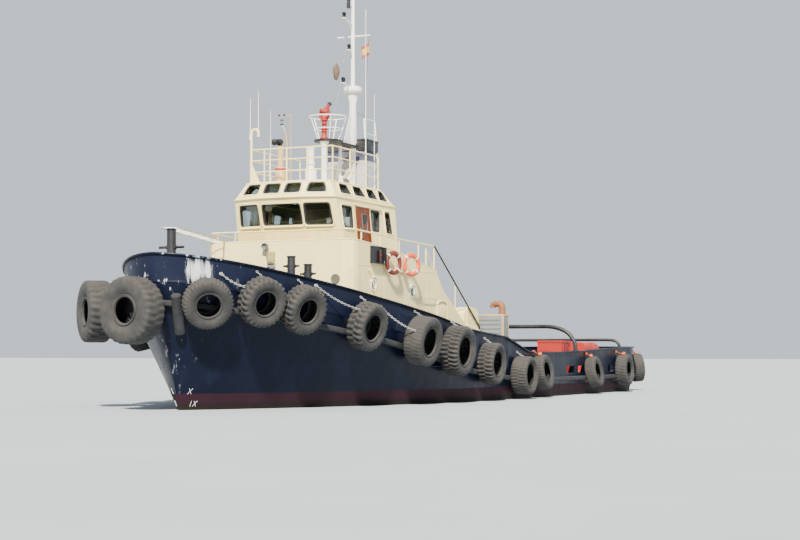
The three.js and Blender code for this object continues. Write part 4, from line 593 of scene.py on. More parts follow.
# Levels from the keel up: share of the deck's height or the depth, beam, stem, stern, and the two
# powers of the bow's plan
LEVELS = np.array(
    [
        (-1.0, 0.06, 13.1, -14.5, 1.5, 1.3),
        (-0.95, 0.55, 13.5, -14.7, 1.6, 1.3),
        (-0.75, 0.86, 14.05, -15.0, 1.7, 1.15),
        (-0.4, 0.95, 14.45, -15.25, 1.75, 1.0),
        (0.0, 0.975, 14.6, -15.5, 1.8, 0.92),
        (0.55, 0.99, 15.25, -15.8, 2.1, 0.72),
        (1.0, 1.0, 16.0, -16.0, 2.4, 0.6),
    ]
)
HALF_BEAM = 4.4
BOW_ROUND_X = 2.4
STERN_ROUND_X = -11.6
STERN_POWER = 3.4


def line(table, x):
    table = np.array(table)
    return np.interp(x, table[:, 0], table[:, 1])


def deck_z(x):
    return line(DECK, x)


def sheer_z(x):
    return line(SHEER, x)


def belt_z(x):
    return line(BELT, x)


def hull_point(s, rise):
    """The port side's (x, y) at a place s along it, 0 at the stem, 1 and 2 where the side is
    straight and 3 at the stern. The plan is full * (1 - u^n)^m forward and full * sqrt(1 - u^p)
    aft, u running from the straight side to the end."""
    s, rise = np.broadcast_arrays(np.asarray(s, float), np.asarray(rise, float))
    beam, stem, stern, n, m = (np.interp(rise, LEVELS[:, 0], LEVELS[:, k]) for k in range(1, 6))
    full = HALF_BEAM * beam
    u_bow = np.cos(np.clip(s, 0, 1) * math.pi / 2)
    u_stern = np.sin(np.clip(s - 2, 0, 1) * math.pi / 2)
    straight = BOW_ROUND_X + np.clip(s - 1, 0, 1) * (STERN_ROUND_X - BOW_ROUND_X)
    x = np.where(s < 1, BOW_ROUND_X + u_bow * (stem - BOW_ROUND_X), straight)
    x = np.where(s > 2, STERN_ROUND_X + u_stern * (stern - STERN_ROUND_X), x)
    bow_y = full * np.maximum(1 - u_bow**n, 0) ** m
    stern_y = full * np.sqrt(np.maximum(1 - u_stern**STERN_POWER, 0))
    y = np.where(s < 1, bow_y, np.where(s > 2, stern_y, full))
    return x, y


def side_line(s, z_of, out=0.0):
    """The port side's points where the side passes the height z_of(x), moved out from the side.
    The rise there is found by stepping: rise = z / deck height at the x of the last rise."""
    rise = np.full(len(s), 0.6)
    for _ in range(12):
        x, y = hull_point(s, rise)
        rise = np.clip(z_of(x) / deck_z(x), 0, 1)
    points = np.stack([x, y, z_of(x) + 0 * x], -1)
    along = np.gradient(points[:, :2], axis=0)
    away = unit(np.stack([along[:, 1], -along[:, 0]], -1))
    away *= np.where(away[:, 1:] < 0, -1, 1)
    if s[0] == 0:
        away[0] = (1, 0)
    if s[-1] == STERN_S:
        away[-1] = (-1, 0)
    points[:, :2] += away * out
    points[:, 1] = np.maximum(points[:, 1], 0)
    return points


def whole_ring(port):
    """A port line from stem to stern closed with its mirror."""
    starboard = port[1:-1][::-1] * np.array([1, -1, 1])
    return np.vstack([port, starboard])


STERN_S = 3.0
S_FINE = np.r_[np.linspace(0, 1, 49)[:-1], np.linspace(1, 2, 57)[:-1], np.linspace(2, 3, 33)]


def hull_surface():
    """The shell from the keel to the deck: z = deck height * rise above the water and keel depth *
    rise below it, closed by the keel's seam and by the deck."""
    rises = np.unique(np.r_[LEVELS[:, 0], np.linspace(-1, 1, 25)])
    rings = []
    for rise in rises:
        x, y = hull_point(S_FINE, np.full(len(S_FINE), rise))
        z = deck_z(x) * rise if rise >= 0 else -line(KEEL, x) * rise
        rings.append(whole_ring(np.stack([x, y, z], -1)))
    skin = grid(np.array(rings), close_v=True)
    lids = []
    for ring in (rings[0], rings[-1]):
        count = len(S_FINE)
        port = ring[:count]
        starboard = np.vstack([port[:1], ring[count:][::-1], port[-1:]])
        share = np.linspace(0, 1, 9)[:, None, None]
        lids.append(grid(port[None] * (1 - share) + starboard[None] * share))
    return joined(skin, *lids)


piece("hull_shell", NAVY, hull_surface(), replaces=("hull",))

# The deck is the hull's own top; its coating is a thin skin just inside the bulwark.
DECK_INSET = 0.08
deck_edge = side_line(S_FINE, deck_z, -DECK_INSET)
deck_share = np.linspace(1, -1, 9)[:, None, None] * np.array([0, 1, 0]) + np.array([1, 0, 1])
deck_top = deck_edge[None] * deck_share + np.array([0, 0, 0.012])
deck_low = deck_top - np.array([0, 0, 0.03])
deck_skin = joined(
    grid(deck_top),
    grid(deck_low[:, ::-1]),
    grid(np.array([whole_ring(deck_top[0]), whole_ring(deck_low[0])]), close_v=True),
)
piece("deck_coating", DECK_COAT, deck_skin)

BULWARK_T = 0.07
CAP_WIDTH = 0.2
CAP_HEIGHT = 0.06
CAP_SINK = 0.028  # how far the cap's middle is below the sheer line
FREEING_PORTS = [(-5.2, 0.9), (-6.5, 0.9), (-10.2, 0.9), (-11.3, 0.9)]  # centre x, length
FREEING_Z = (0.83, 1.08)
STANCHION_FOOT = 0.32
STANCHION_TOP = 0.1
STANCHION_T = 0.012


def bulwark_strip(s, low, high):
    """A length of bulwark plating between two heights; one that doesn't run from the stem to the
    stern has lids at its ends."""
    outer = side_line(s, deck_z)
    inner = side_line(s, deck_z, -BULWARK_T)
    x = outer[:, 0]
    rows = []
    for plan, z in ((outer, low(x)), (outer, high(x)), (inner, high(x)), (inner, low(x))):
        rows.append(np.stack([plan[:, 0], plan[:, 1], z], -1))
    rows = np.array(rows)
    lids = [fan(rows[:, end]) for end in (0, -1)] if s[0] > 0 or s[-1] < STERN_S else []
    return [grid(rows, close_u=True), *lids]


def cap_rail():
    """The rounded rail on top of the bulwark."""
    path = side_line(S_FINE, deck_z, -BULWARK_T / 2)
    path[:, 2] = sheer_z(side_line(S_FINE, deck_z)[:, 0]) - CAP_SINK
    return sweep(whole_ring(path), rounded_rectangle(CAP_WIDTH, CAP_HEIGHT, CAP_HEIGHT / 2, 4), closed=True)


def above_port(x):
    return np.maximum(FREEING_Z[1], deck_z(x) + 0.02)


def port_sill(x):
    return np.maximum(FREEING_Z[0], deck_z(x) + 0.01)


def below_port(x):
    return deck_z(x) - 0.03


def straight_s(x):
    return 1 + (x - BOW_ROUND_X) / (STERN_ROUND_X - BOW_ROUND_X)


def bulwark():
    """Plating round the deck in three heights, so that the freeing ports stay open, and its cap."""
    surfaces = bulwark_strip(S_FINE, above_port, sheer_z)
    surfaces += bulwark_strip(S_FINE, below_port, port_sill)
    edges = [0.0]
    for x, length in FREEING_PORTS:
        edges += [straight_s(x + length / 2), straight_s(x - length / 2)]
    edges.append(STERN_S)
    for first, last in zip(edges[::2], edges[1::2]):
        inside = S_FINE[(S_FINE > first) & (S_FINE < last)]
        s = np.r_[first, inside, last]
        surfaces += bulwark_strip(s, port_sill, above_port)
    return joined(*(both(surface) for surface in surfaces), cap_rail())


def stanchions():
    """Bulwark brackets: plates that narrow from the deck to the cap, about 1.4 m apart."""
    s = np.r_[np.linspace(0.2, 1, 10)[:-1], np.linspace(1, 2, 11)[:-1], np.linspace(2, 2.75, 5)]
    foot = side_line(s, deck_z, -BULWARK_T)
    inner = side_line(s, deck_z, -BULWARK_T - STANCHION_FOOT)
    top = side_line(s, deck_z, -BULWARK_T - STANCHION_TOP)
    along = unit(np.gradient(foot, axis=0)) * STANCHION_T / 2
    surfaces = []
    for a, b, c, way in zip(foot, inner, top, along):
        high = sheer_z(a[0]) - 0.06
        corners = np.array([a, b, [c[0], c[1], high], [a[0], a[1], high]])
        corners[:2, 2] -= 0.02
        rings = np.array([corners - way, corners + way])
        surfaces.append(both(tube_grid(rings)))
    return joined(*surfaces)


piece(
    "bulwark_plating",
    NAVY,
    bulwark(),
    stanchions(),
    replaces=("bulwark_forward", "bulwark_aft"),
)


# Fendering

BELT_OUT = 0.12
BELT_H = 0.16
BITE = 0.06  # how far a tyre presses into the belt
SWING_SHARE = 0.3  # how far a turned tyre moves out, as a share of its edge's swing
RISE_SHARE = 0.8  # where the side's rise is measured over and under a tyre, in tyre radii
BIG_WIDTH = 0.42  # half width of a big bow tyre as a share of its radius
TYRE_STEPS = 6  # points round the tread for each lug
S_DENSE = np.linspace(0, 3, 3001)
# Port tyres: centre x, y, z, outer diameter, half width as a share of the radius, degrees turned
# aft from the side's own heading, degrees that the foot swings out, lugs round the tread, lug
# depth and bore as shares of the radius
PORT_TYRES = [
    (14.26, 2.37, 3.02, 1.36, 0.38, 9, 0, 26, 0.06, 0.47),
    (13.08, 3.0, 2.83, 1.36, 0.38, 9, 0, 26, 0.06, 0.47),
    (10.81, 3.83, 2.4, 1.39, 0.4, 10, 0, 24, 0.06, 0.52),
    (8.24, 4.37, 1.98, 1.47, 0.43, 8, 0, 40, 0.012, 0.54),
    (6.09, 4.6, 1.66, 1.54, 0.39, 2, 0, 34, 0.075, 0.56),
    (3.52, 4.65, 1.24, 1.33, 0.42, 0, 0, 30, 0.06, 0.58),
    (0.58, 4.65, 0.83, 1.28, 0.46, 0, 4, 38, 0.03, 0.6),
    (-1.47, 4.65, 0.9, 1.2, 0.36, 0, 12, 36, 0.02, 0.56),
    (-7.19, 4.65, 0.86, 1.15, 0.36, 0, 14, 36, 0.015, 0.54),
    (-10.96, 4.65, 0.9, 1.22, 0.4, 0, 5, 30, 0.025, 0.54),
    (-14.5, 4.13, 0.97, 1.18, 0.36, 0, 10, 34, 0.02, 0.54),
]
BOW_TYRE = (15.47, 1.44, 2.98, 1.36, 0.36, 0, 0, 38, 0.03, 0.47)
STARBOARD_TYRES = [(12.5, 3.23, 2.75, 1.36, 0.38, 6, 0, 26, 0.05, 0.48)] + PORT_TYRES[2:]
# The two big bow tyres: centre x, y, z, outer diameter, heading of the face in degrees from
# ahead, lugs, lug depth and bore
BIG_TYRES = [
    (16.18, -0.5, 2.68, 1.81, -8, 30, 0.025, 0.38),
    (14.38, -2.93, 2.72, 1.75, -40, 28, 0.035, 0.4),
]
# Half of a tyre's section from its bead to the middle of the tread, then back along its inner
# wall: share of the way from bore to tread, share of the half width, share of the lug depth
TYRE_SECTION = [
    (0.0, 0.66, 0), (0.02, 0.82, 0), (0.11, 0.86, 0), (0.135, 0.77, 0), (0.19, 0.8, 0),
    (0.36, 0.96, 0), (0.56, 1.0, 0), (0.76, 0.97, 0.25), (0.9, 0.9, 1), (0.985, 0.78, 1),
    (1.0, 0.6, 1), (1.0, 0.3, 1), (1.0, 0.04, 0.8),
]
TYRE_LINER = [(0.9, 0.04, 0), (0.9, 0.55, 0), (0.74, 0.78, 0), (0.4, 0.8, 0), (0.06, 0.56, 0)]


def level_line(z):
    """The port side's points at one height."""
    return side_line(S_DENSE, lambda x: z + 0 * x)


def seat(row):
    """A side tyre's centre and its axis. Its foot is the nearest place of the side at its height,
    the way out is the side's run crossed with its rise, and the axis is that way turned and
    tipped by the row's angles."""
    x, y, z, diameter, width, turn, lean = row[:7]
    r = diameter / 2
    level, high, low = (level_line(z + share * r) for share in (0, RISE_SHARE, -RISE_SHARE))
    k = int(np.argmin(np.hypot(level[:, 0] - x, level[:, 1] - y)))
    out = unit(np.cross(level[k + 1] - level[k - 1], high[k] - low[k]))
    if out[1] * (y - level[k, 1]) + out[0] * (x - level[k, 0]) < 0:
        out = -out
    cos, sin = math.cos(math.radians(turn)), math.sin(math.radians(turn))
    centre = level[k] + out * (BELT_OUT + r * width - BITE + SWING_SHARE * r * sin)
    axis = np.array([out[0] * cos - out[1] * sin, out[0] * sin + out[1] * cos, out[2]])
    return centre, unit(axis + np.array([0, 0, math.tan(math.radians(lean))]))


def tyre(row, centre, out, width, tread):
    """A tyre shell: its section turned about the way out. Round the tread the radius swells by
    the lug depth times a squared-off sine of the angle, slanted towards the middle."""
    r = row[3] / 2
    lugs, depth, bore = tread
    outer = np.array(TYRE_SECTION)
    inner = np.array(TYRE_LINER)
    flip = np.array([1, -1, 1])
    rows = np.vstack([outer, (outer * flip)[::-1], (inner * flip)[::-1], inner])
    count = lugs * TYRE_STEPS
    a = np.arange(count) * 2 * math.pi / count
    slant = 1.6 * np.abs(rows[:, 1:2]) + np.where(rows[:, 1:2] < 0, math.pi, 0)
    wave = np.clip(1.8 * np.sin(lugs * a[None] + slant), -1, 1)
    reach = bore + (1 - bore) * rows[:, :1] + rows[:, 2:3] * depth * (wave - 1) * 0.5
    across = unit(np.cross(out, (0, 0, 1)))
    up = np.cross(across, out)
    spin = hash_turn(row[0])
    around = np.cos(a + spin)[:, None] * across + np.sin(a + spin)[:, None] * up
    points = centre + r * (reach[:, :, None] * around[None] + rows[:, 1:2, None] * width * out)
    return grid(points, close_u=True, close_v=True)


def liner_faces(*lugs):
    """Which faces of tyres with these numbers of lugs are their liners."""
    section = np.arange(2 * len(TYRE_SECTION) + 2 * len(TYRE_LINER)) >= 2 * len(TYRE_SECTION) - 1
    return np.concatenate([np.repeat(section, count * TYRE_STEPS) for count in lugs])


def hash_turn(x):
    """A fixed turn for a tyre, from its place, so that no two tyres line up."""
    return (x * 7.31) % 1.0


def side_tyres(rows):
    return [tyre(row, *seat(row), row[4], row[7:]) for row in rows]


def headed(row):
    a = math.radians(row[4])
    return tyre(row, np.array(row[:3]), np.array([math.cos(a), math.sin(a), 0.0]), BIG_WIDTH, row[5:])


# Each tyre's liner faces take the darker liner rubber, which is painted shade inside its bore.
port_faces = liner_faces(*(row[7] for row in PORT_TYRES))
piece("tyres_port", TYRE, *side_tyres(PORT_TYRES), slot="tyre_rubber", inside=(LINER, port_faces))
piece(
    "tyres_starboard",
    TYRE,
    *(mirrored(t) for t in side_tyres(STARBOARD_TYRES)),
    inside=(LINER, liner_faces(*(row[7] for row in STARBOARD_TYRES))),
)
piece(
    "tyres_bow",
    TYRE,
    *side_tyres([BOW_TYRE]),
    *(headed(row) for row in BIG_TYRES),
    inside=(LINER, liner_faces(BOW_TYRE[7], *(row[5] for row in BIG_TYRES))),
)


def belting():
    """The rubber belt round the sheer, the thick bow rubber and the upright stem fender."""
    ring = whole_ring(side_line(S_FINE, lambda x: belt_z(x) + BELT_H / 2, BELT_OUT / 2 - 0.015))
    belt = sweep(ring, rounded_rectangle(BELT_OUT + 0.03, BELT_H, 0.05), closed=True)
    thick = side_line(S_DENSE, lambda x: belt_z(x) + 0.09, 0.22)
    thick = thick[(thick[:, 0] > 13.5) & (thick[:, 1] > 0.06)][::12]
    bow = mirrored(sweep(thick, rounded_rectangle(0.5, 0.48, 0.09)))
    a, b = np.array([15.26, 0.43, 2.07]), np.array([15.74, 0.59, 3.1])
    way = unit(b - a)
    length = float(np.linalg.norm(b - a))
    profile = [(0, 0), (0.11, 0), (0.14, 0.03), (0.14, length - 0.03), (0.11, length), (0, length)]
    return belt, bow, turned(profile, a, way, 28)


piece(
    "belting",
    BELT_RUBBER,
    *belting(),
    replaces=("fenders_port", "fenders_starboard", "fenders_bow"),
)


LINK_REACH = 0.62  # half a link's length as a share of the pitch
LINK_HALF_WIDTH = 0.024


def chain(a, b, sag, pitch=0.06, r=0.008):
    """Oval links along a hanging line from a to b; each is turned a quarter from the last."""
    a, b = np.asarray(a, float), np.asarray(b, float)
    count = max(3, int(np.linalg.norm(b - a) / pitch))
    t = (np.arange(count) + 0.5) / count
    centres = a + t[:, None] * (b - a) - np.array([0, 0, 1.0]) * (4 * sag * t * (1 - t))[:, None]
    along = unit(np.gradient(centres, axis=0))
    turn = np.linspace(0, 2 * math.pi, 13)[:-1]
    u = unit(np.cross(along, (0, 0, 1.0)))
    w = np.cross(along, u)
    links = []
    for i in range(count):
        long_way = np.outer(np.cos(turn) * pitch * LINK_REACH, along[i])
        wide_way = np.outer(np.sin(turn) * LINK_HALF_WIDTH, u[i] if i % 2 else w[i])
        links.append(tube(centres[i] + long_way + wide_way, r, 6, closed=True))
    return joined(*links)


def eye_plate(point, out):
    """A round lug on the plating with a ring through it."""
    ring = np.asarray(point) + np.asarray(out) * 0.035
    a = np.linspace(0, 2 * math.pi, 15)[:-1]
    loop = ring + 0.035 * (np.outer(np.cos(a), out) + np.outer(np.sin(a), (0, 0, 1)))
    lug = turned([(0, -0.01), (0.04, -0.01), (0.04, 0.012), (0.025, 0.02), (0, 0.02)], point, out, 16)
    return joined(lug, tube(loop, 0.011, 6, closed=True))


def on_side(x, z, out=0.0):
    """The port side's point at x and height z, moved straight out to port."""
    level = level_line(z)
    order = np.argsort(level[:, 0])
    return np.array([x, np.interp(x, level[order, 0], level[order, 1]) + out, z])


# Chains: which tyre, how far ahead of its centre the eye is, height of the eye, chain's end on
# the tyre as shares of its radius ahead and up
CHAINS = [(1, 0.75, 3.66, 0.6, 0.6), (3, 1.6, 3.42, 0.72, 0.7), (4, 1.6, 2.88, 0.95, 0.42)]
STRAPPED_FROM = 7  # the port tyres from this one aft hang from webbing


def tyre_chains():
    """Chains that steady the tyres, from eyes on the side to the tread, and a short sling of
    chain over each forward tyre."""
    pieces = []
    for number, ahead, z, forward, up in CHAINS:
        row = ([BOW_TYRE] + PORT_TYRES)[number]
        centre, out = seat(row)
        r = row[3] / 2
        top = on_side(centre[0] + ahead, z, 0.02)
        way = unit(np.cross((0, 0, 1), out))
        if way[0] < 0:
            way = -way
        end = centre + way * forward * r + np.array([0, 0, up * r]) + out * 0.1
        pieces += [both(chain(top + np.array([0, 0.04, 0]), end, 0.09)), both(eye_plate(top, (0, 1, 0)))]
    for row in PORT_TYRES[:STRAPPED_FROM]:
        centre, out = seat(row)
        r = row[3] / 2
        below = on_side(centre[0] - 0.1, float(centre[2] + r + 0.16), 0.02)
        pieces.append(both(chain(below, centre + np.array([-0.1, 0, 0.95 * r]) - out * 0.05, 0.0)))
    return pieces


piece("tyre_chains", CHAIN, *tyre_chains())


def straps():
    """Webbing slings that hold the aft tyres: each leaves a lug on the side, drops to the tread
    and is knotted there."""
    pieces = []
    for row in PORT_TYRES[STRAPPED_FROM:]:
        centre, out = seat(row)
        r = row[3] / 2
        top = on_side(centre[0] + 0.3, float(centre[2] + r + 0.12), 0.03)
        rise = unit(np.array([0, 0, 1.0]) - out[2] * out)
        crown = centre + rise * (r + 0.02)
        sagging = top * 0.4 + crown * 0.6 - (0, 0, 0.03)
        path = rounded([top, sagging, crown + (0.06, 0, 0.0), crown - (0.1, 0, 0.01)], 0.1, 5, closed=False)
        band = sweep(path, rounded_rectangle(0.02, 0.06, 0.008, 3), up=(0, 1, 0))
        ball = [(0, -0.07), (0.05, -0.06), (0.075, 0.0), (0.05, 0.06), (0, 0.07)]
        knot = turned(ball, crown + (0.04, 0, 0.02), (1, 0, 0.2), 16)
        pieces += [both(band), both(knot), both(eye_plate(top - (0, 0.02, 0), (0, 1, 0)))]
    return pieces


piece("tyre_straps", STRAP, *straps())

# Draft marks: strokes of the numerals in a box 1 wide and 2 high
STROKES = {
    "X": [((0, 0), (1, 2)), ((1, 0), (0, 2))],
    "I": [((0.5, 0), (0.5, 2))],
    "V": [((0, 2), (0.5, 0)), ((0.5, 0), (1, 2))],
}
DRAFTS = [("X", 14.55, 0.44), ("IX", 14.44, 0.1), ("VIII", 14.34, -0.22)]  # word, x and z of its foot
MARK_WIDTH = 0.075
LETTER_STEP = 1.25  # from letter to letter, in widths
MARK_PROUD = 0.006


def draft_marks():
    """Roman numerals for the draft, painted on each bow."""
    pieces = []
    for word, x, z in DRAFTS:
        for k, letter in enumerate(word):
            for a, b in STROKES[letter]:
                share = np.linspace(0, 1, 4)[:, None]
                spots = np.array(a) * (1 - share) + np.array(b) * share
                forward = x - (k * LETTER_STEP + spots[:, 0]) * MARK_WIDTH
                height = z + spots[:, 1] * MARK_WIDTH
                path = np.array([on_side(px, pz, MARK_PROUD) for px, pz in zip(forward, height)])
                pieces.append(both(sweep(path, rounded_rectangle(0.01, 0.02, 0.004, 3), up=(1, 0, 0.01))))
    return pieces


piece("draft_marks", MARK, *draft_marks())

# Wheelhouse: height, aft, corner, front, half breadth, half width of the front's middle panel
WHEELHOUSE = np.array(
    [
        (4.2, 4.5, 8.08, 8.3, 1.93, 0.76),
        (6.28, 4.5, 8.74, 9.05, 1.75, 0.7),
        (6.8, 4.95, 8.52, 8.72, 1.46, 0.56),
    ]
)


def front_point(y, z):
    """The wheelhouse front at y and z: flat across the middle panel, then back to the corner."""
    corner, front, half, face = (np.interp(z, WHEELHOUSE[:, 0], WHEELHOUSE[:, k]) for k in (2, 3, 4, 5))
    back = np.clip((abs(y) - face) / (half - face), 0, 1)
    return np.array([front + (corner - front) * back, y, z])


def side_point(x, z):
    return np.array([x, np.interp(z, WHEELHOUSE[:, 0], WHEELHOUSE[:, 4]), z])


ROOF_Z = WHEELHOUSE[2, 0]
WHEELHOUSE_MIDDLE = np.array([6.5, 0, 5.5])
SEAL_WIDTH = 0.05
SEAL_T = 0.02
SEAL_LAP = 0.012  # how far the seal reaches over the opening's edge
REVEAL_DEPTH = 0.1  # the lining goes through the wall's thickness


def window(corners, inwards, width=0.055, proud=0.03, corner=0.1, lip=True):
    """The trim round an opening given by its corners, from the start of its lower edge: a raised
    frame, a rubber seal inside it, the seal's lining of the opening, which runs inwards as the
    opening does, and a drip lip under it. Each is a section carried round."""
    corners = np.array(corners)
    middle = corners.mean(0)
    normal = unit(np.cross(corners[1] - corners[0], corners[2] - corners[0]))
    if normal @ (middle - WHEELHOUSE_MIDDLE) < 0:
        normal = -normal

    def ring(grow, high, wide, tall):
        away = unit(corners - middle) * grow * 1.3
        path = rounded(corners + away, corner, 6) + normal * high
        return sweep(path, rounded_rectangle(wide, tall, min(wide, tall) * 0.42), up=normal, closed=True)

    frame_ring = ring(SEAL_WIDTH + width / 2 - SEAL_LAP, proud / 2 - 0.004, width, proud)
    seal = ring(SEAL_WIDTH / 2 - SEAL_LAP, min(proud, SEAL_T) / 2 - SEAL_T / 2, SEAL_WIDTH, SEAL_T)
    away = unit(corners - middle)
    inner = rounded(corners - away * 0.016, corner, 6)
    outer = rounded(corners + away * 0.02, corner, 6)
    deep = np.asarray(inwards) * REVEAL_DEPTH
    lining = grid(np.array([inner, inner + deep, outer + deep, outer]), close_u=True, close_v=True)
    trims = [frame_ring]
    if lip:
        a, b = corners[0], corners[1]
        along = unit(b - a)
        drop = np.array([0, 0, -0.055])
        path = np.array([a - along * 0.03, b + along * 0.03]) + drop + normal * 0.02
        trims.append(sweep(path, rounded_rectangle(0.07, 0.035, 0.016), up=(0, 0, 1)))
    return trims, [seal, lining]


FRONT_Z = (5.46, 6.08)
FRONT_WINDOWS = [(-1.62, -0.86, -1.55, -0.83), (-0.67, 0.64, -0.64, 0.63), (0.77, 1.56, 0.79, 1.53)]
SIDE_Z = (5.4, 6.02)
SIDE_WINDOWS = [(7.69, 8.29, 7.7, 8.39), (5.84, 6.33, 5.73, 6.34), (4.88, 5.31, 4.99, 5.36)]
SIDE_PROUD = (0.03, 0.006, 0.03)  # the middle one lies flat, as the door slides over it
SKY_Z = (6.43, 6.72)
SKY_FRONT = [(0.11, 0.61, 0.12, 0.59), (0.86, 1.42, 0.86, 1.3)]
SKY_SIDE = [
    (7.53, 8.22, 7.54, 8.02),
    (6.53, 7.25, 6.59, 7.09),
    (5.66, 6.29, 5.69, 6.12),
    (4.93, 5.48, 5.0, 5.26),
]


def opening(place, row, heights):
    """The corners of an opening, from the row's two places along the face at its lower height and
    two at its upper one."""
    a, b, c, d = row
    low, high = heights
    return [place(a, low), place(b, low), place(d, high), place(c, high)]


def window_trims():
    """The frames and the seals of every wheelhouse window."""
    made = [window(opening(front_point, row, FRONT_Z), (-1, 0, 0), corner=0.12) for row in FRONT_WINDOWS]
    for row in SKY_FRONT + [(-b, -a, -d, -c) for a, b, c, d in SKY_FRONT]:
        made.append(window(opening(front_point, row, SKY_Z), (-1, 0, 0), 0.04))
    sides = [(row, SIDE_Z, proud) for row, proud in zip(SIDE_WINDOWS, SIDE_PROUD)]
    for row, heights, proud in sides + [(row, SKY_Z, 0.025) for row in SKY_SIDE]:
        parts = window(opening(side_point, row, heights), (0, -1, 0), 0.045, proud, lip=proud > 0.01)
        made.append([[both(surface) for surface in part] for part in parts])
    return [s for trims, _ in made for s in trims], [s for _, seals in made for s in seals]


window_frames, window_seals = window_trims()
piece("window_frames", CREAM, *window_frames)
piece("window_seals", SEAL, *window_seals)


def roof_edge():
    """The rounded knuckle moulding between the leaning walls and the sky windows' band, and the
    roof's rain bead."""
    beads = []
    knuckle, top = WHEELHOUSE[1], WHEELHOUSE[2]
    for row, z, grow, size in ((knuckle, knuckle[0], 0.012, 0.028), (top, ROOF_Z - 0.01, 0.0, 0.03)):
        aft, corner, front, half, face = row[1:]
        port = [(front + grow, face), (corner + grow, half + grow), (aft - grow, half + grow)]
        plan = port + [(x, -y) for x, y in reversed(port)]
        path = rounded(np.array([(x, y, z) for x, y in plan]), 0.05, 4)
        beads.append(sweep(path, circle(size, 10), closed=True))
    return beads


piece("wheelhouse_beads", CREAM, *roof_edge())

# Rails and the gear on the roof

UPPER_RAIL = [(3.05, 5.08), (5.78, 5.14), (9.12, 5.25)]
COAMING = [(2.9, 4.29), (3.85, 4.42), (6.13, 4.76), (8.18, 4.9), (9.15, 4.95)]
RAIL_Y = 2.5
RAIL_FRONT = 9.12
HOUSE_SIDE = 2.53
HOUSE_FRONT = 9.15
HOUSE_TOP = WHEELHOUSE[0, 0]
RAIL_CORNER = 0.32
RAIL_ENDS_X = (3.05, 5.78)  # where the rail starts and where it changes its slope
RAIL_POSTS_X = (3.05, 4.3, 5.78, 7.2, 8.5)
RAIL_POSTS_Y = (-1.5, 0, 1.5)


def foot_pad(point, r=0.05):
    """A small round foot where a post stands on a plate."""
    return turned([(0, 0), (r, 0), (r, 0.008), (r * 0.6, 0.02), (0, 0.02)], point, sides=14)


def along_coaming(x, heights):
    """A path through the places x of the port side, round both front corners and back to starboard,
    at the heights of a line of (x, z) pairs."""
    a = np.linspace(0, math.pi / 2, 7)
    y = np.r_[np.full(len(x), RAIL_Y), RAIL_Y - RAIL_CORNER + RAIL_CORNER * np.cos(a)]
    x = np.r_[x, RAIL_FRONT - RAIL_CORNER + RAIL_CORNER * np.sin(a)]
    port = np.stack([x, y, line(heights, x)], -1)
    return np.vstack([port, port[::-1] * np.array([1, -1, 1])])


def upper_rails():
    """The rail above the coaming, with round corners, on posts with feet."""
    pieces = [tube(along_coaming(RAIL_ENDS_X, UPPER_RAIL), 0.024, 12)]
    for px in RAIL_POSTS_X:
        foot = line(COAMING, px) - 0.02
        pieces.append(both(tube([(px, RAIL_Y, foot), (px, RAIL_Y, line(UPPER_RAIL, px))], 0.02, 10)))
        pieces.append(both(foot_pad((px, RAIL_Y, foot + 0.02), 0.045)))
    for py in RAIL_POSTS_Y:
        pieces.append(tube([(RAIL_FRONT, py, 4.93), (RAIL_FRONT, py, line(UPPER_RAIL, 9.1))], 0.02, 10))
        pieces.append(foot_pad((RAIL_FRONT, py, 4.95), 0.045))
    return pieces


piece("coaming_rails", CREAM, *upper_rails(), replaces=("upper_deck_rails",))

ROOF_RAIL_FRONT = 8.29
ROOF_RAIL_AFT = 5.08
ROOF_RAIL_Y = 1.425
RAIL_HEIGHTS = (0.38, 0.74, 1.08)
SIDE_POSTS_X = (7.11, 5.97, 5.08)
FRONT_POSTS_Y = (-0.96, -0.17, 0.54)


def roof_rails():
    """Three rails round the roof with rounded corners, on posts with feet."""
    front, aft, half = ROOF_RAIL_FRONT, ROOF_RAIL_AFT, ROOF_RAIL_Y
    pieces = []
    for k, height in enumerate(RAIL_HEIGHTS):
        corners = np.array([(aft, half), (front, half), (front, -half), (aft, -half)])
        plan = rounded(corners, 0.07, 5, closed=False)
        path = np.hstack([plan, np.full((len(plan), 1), ROOF_Z + height)])
        pieces.append(tube(path, 0.022 if k == 2 else 0.018, 12))
    spots = [(x, y) for x in (front, *SIDE_POSTS_X) for y in (half, -half)]
    for x, y in spots + [(front, y) for y in FRONT_POSTS_Y]:
        pieces.append(tube([(x, y, ROOF_Z), (x, y, ROOF_Z + RAIL_HEIGHTS[2] + 0.005)], 0.022, 12))
        pieces.append(foot_pad((x, y, ROOF_Z), 0.055))
    return pieces


def swan_neck():
    """A vent pipe that curls over at the starboard front corner, with its gusset."""
    x, y = ROOF_RAIL_FRONT, -ROOF_RAIL_Y
    a = np.linspace(0, math.pi, 13)
    reach, centre = 0.125, 8.4
    bend = np.stack([0 * a + x, y + reach - reach * np.cos(a), centre + reach * np.sin(a)], -1)
    path = np.vstack([[(x, y, ROOF_Z)], bend, [(x, y + 2 * reach, centre - 0.1)]])
    flange = [(0.03, 0), (0.054, 0), (0.054, 0.03), (0.03, 0.03)]
    lip = turned(flange, (x, y + 2 * reach, centre - 0.11), ring=True)
    outline = rounded(np.array([(x, y, ROOF_Z), (x, y + 0.33, ROOF_Z), (x, y, 7.5)]), 0.03, 4)
    gusset = tube_grid(np.array([outline - np.array([0.008, 0, 0]), outline + np.array([0.008, 0, 0])]))
    return [tube(path, 0.042, 16), lip, gusset]


piece("roof_railing", CREAM, *roof_rails(), *swan_neck(), replaces=("roof_rails",))


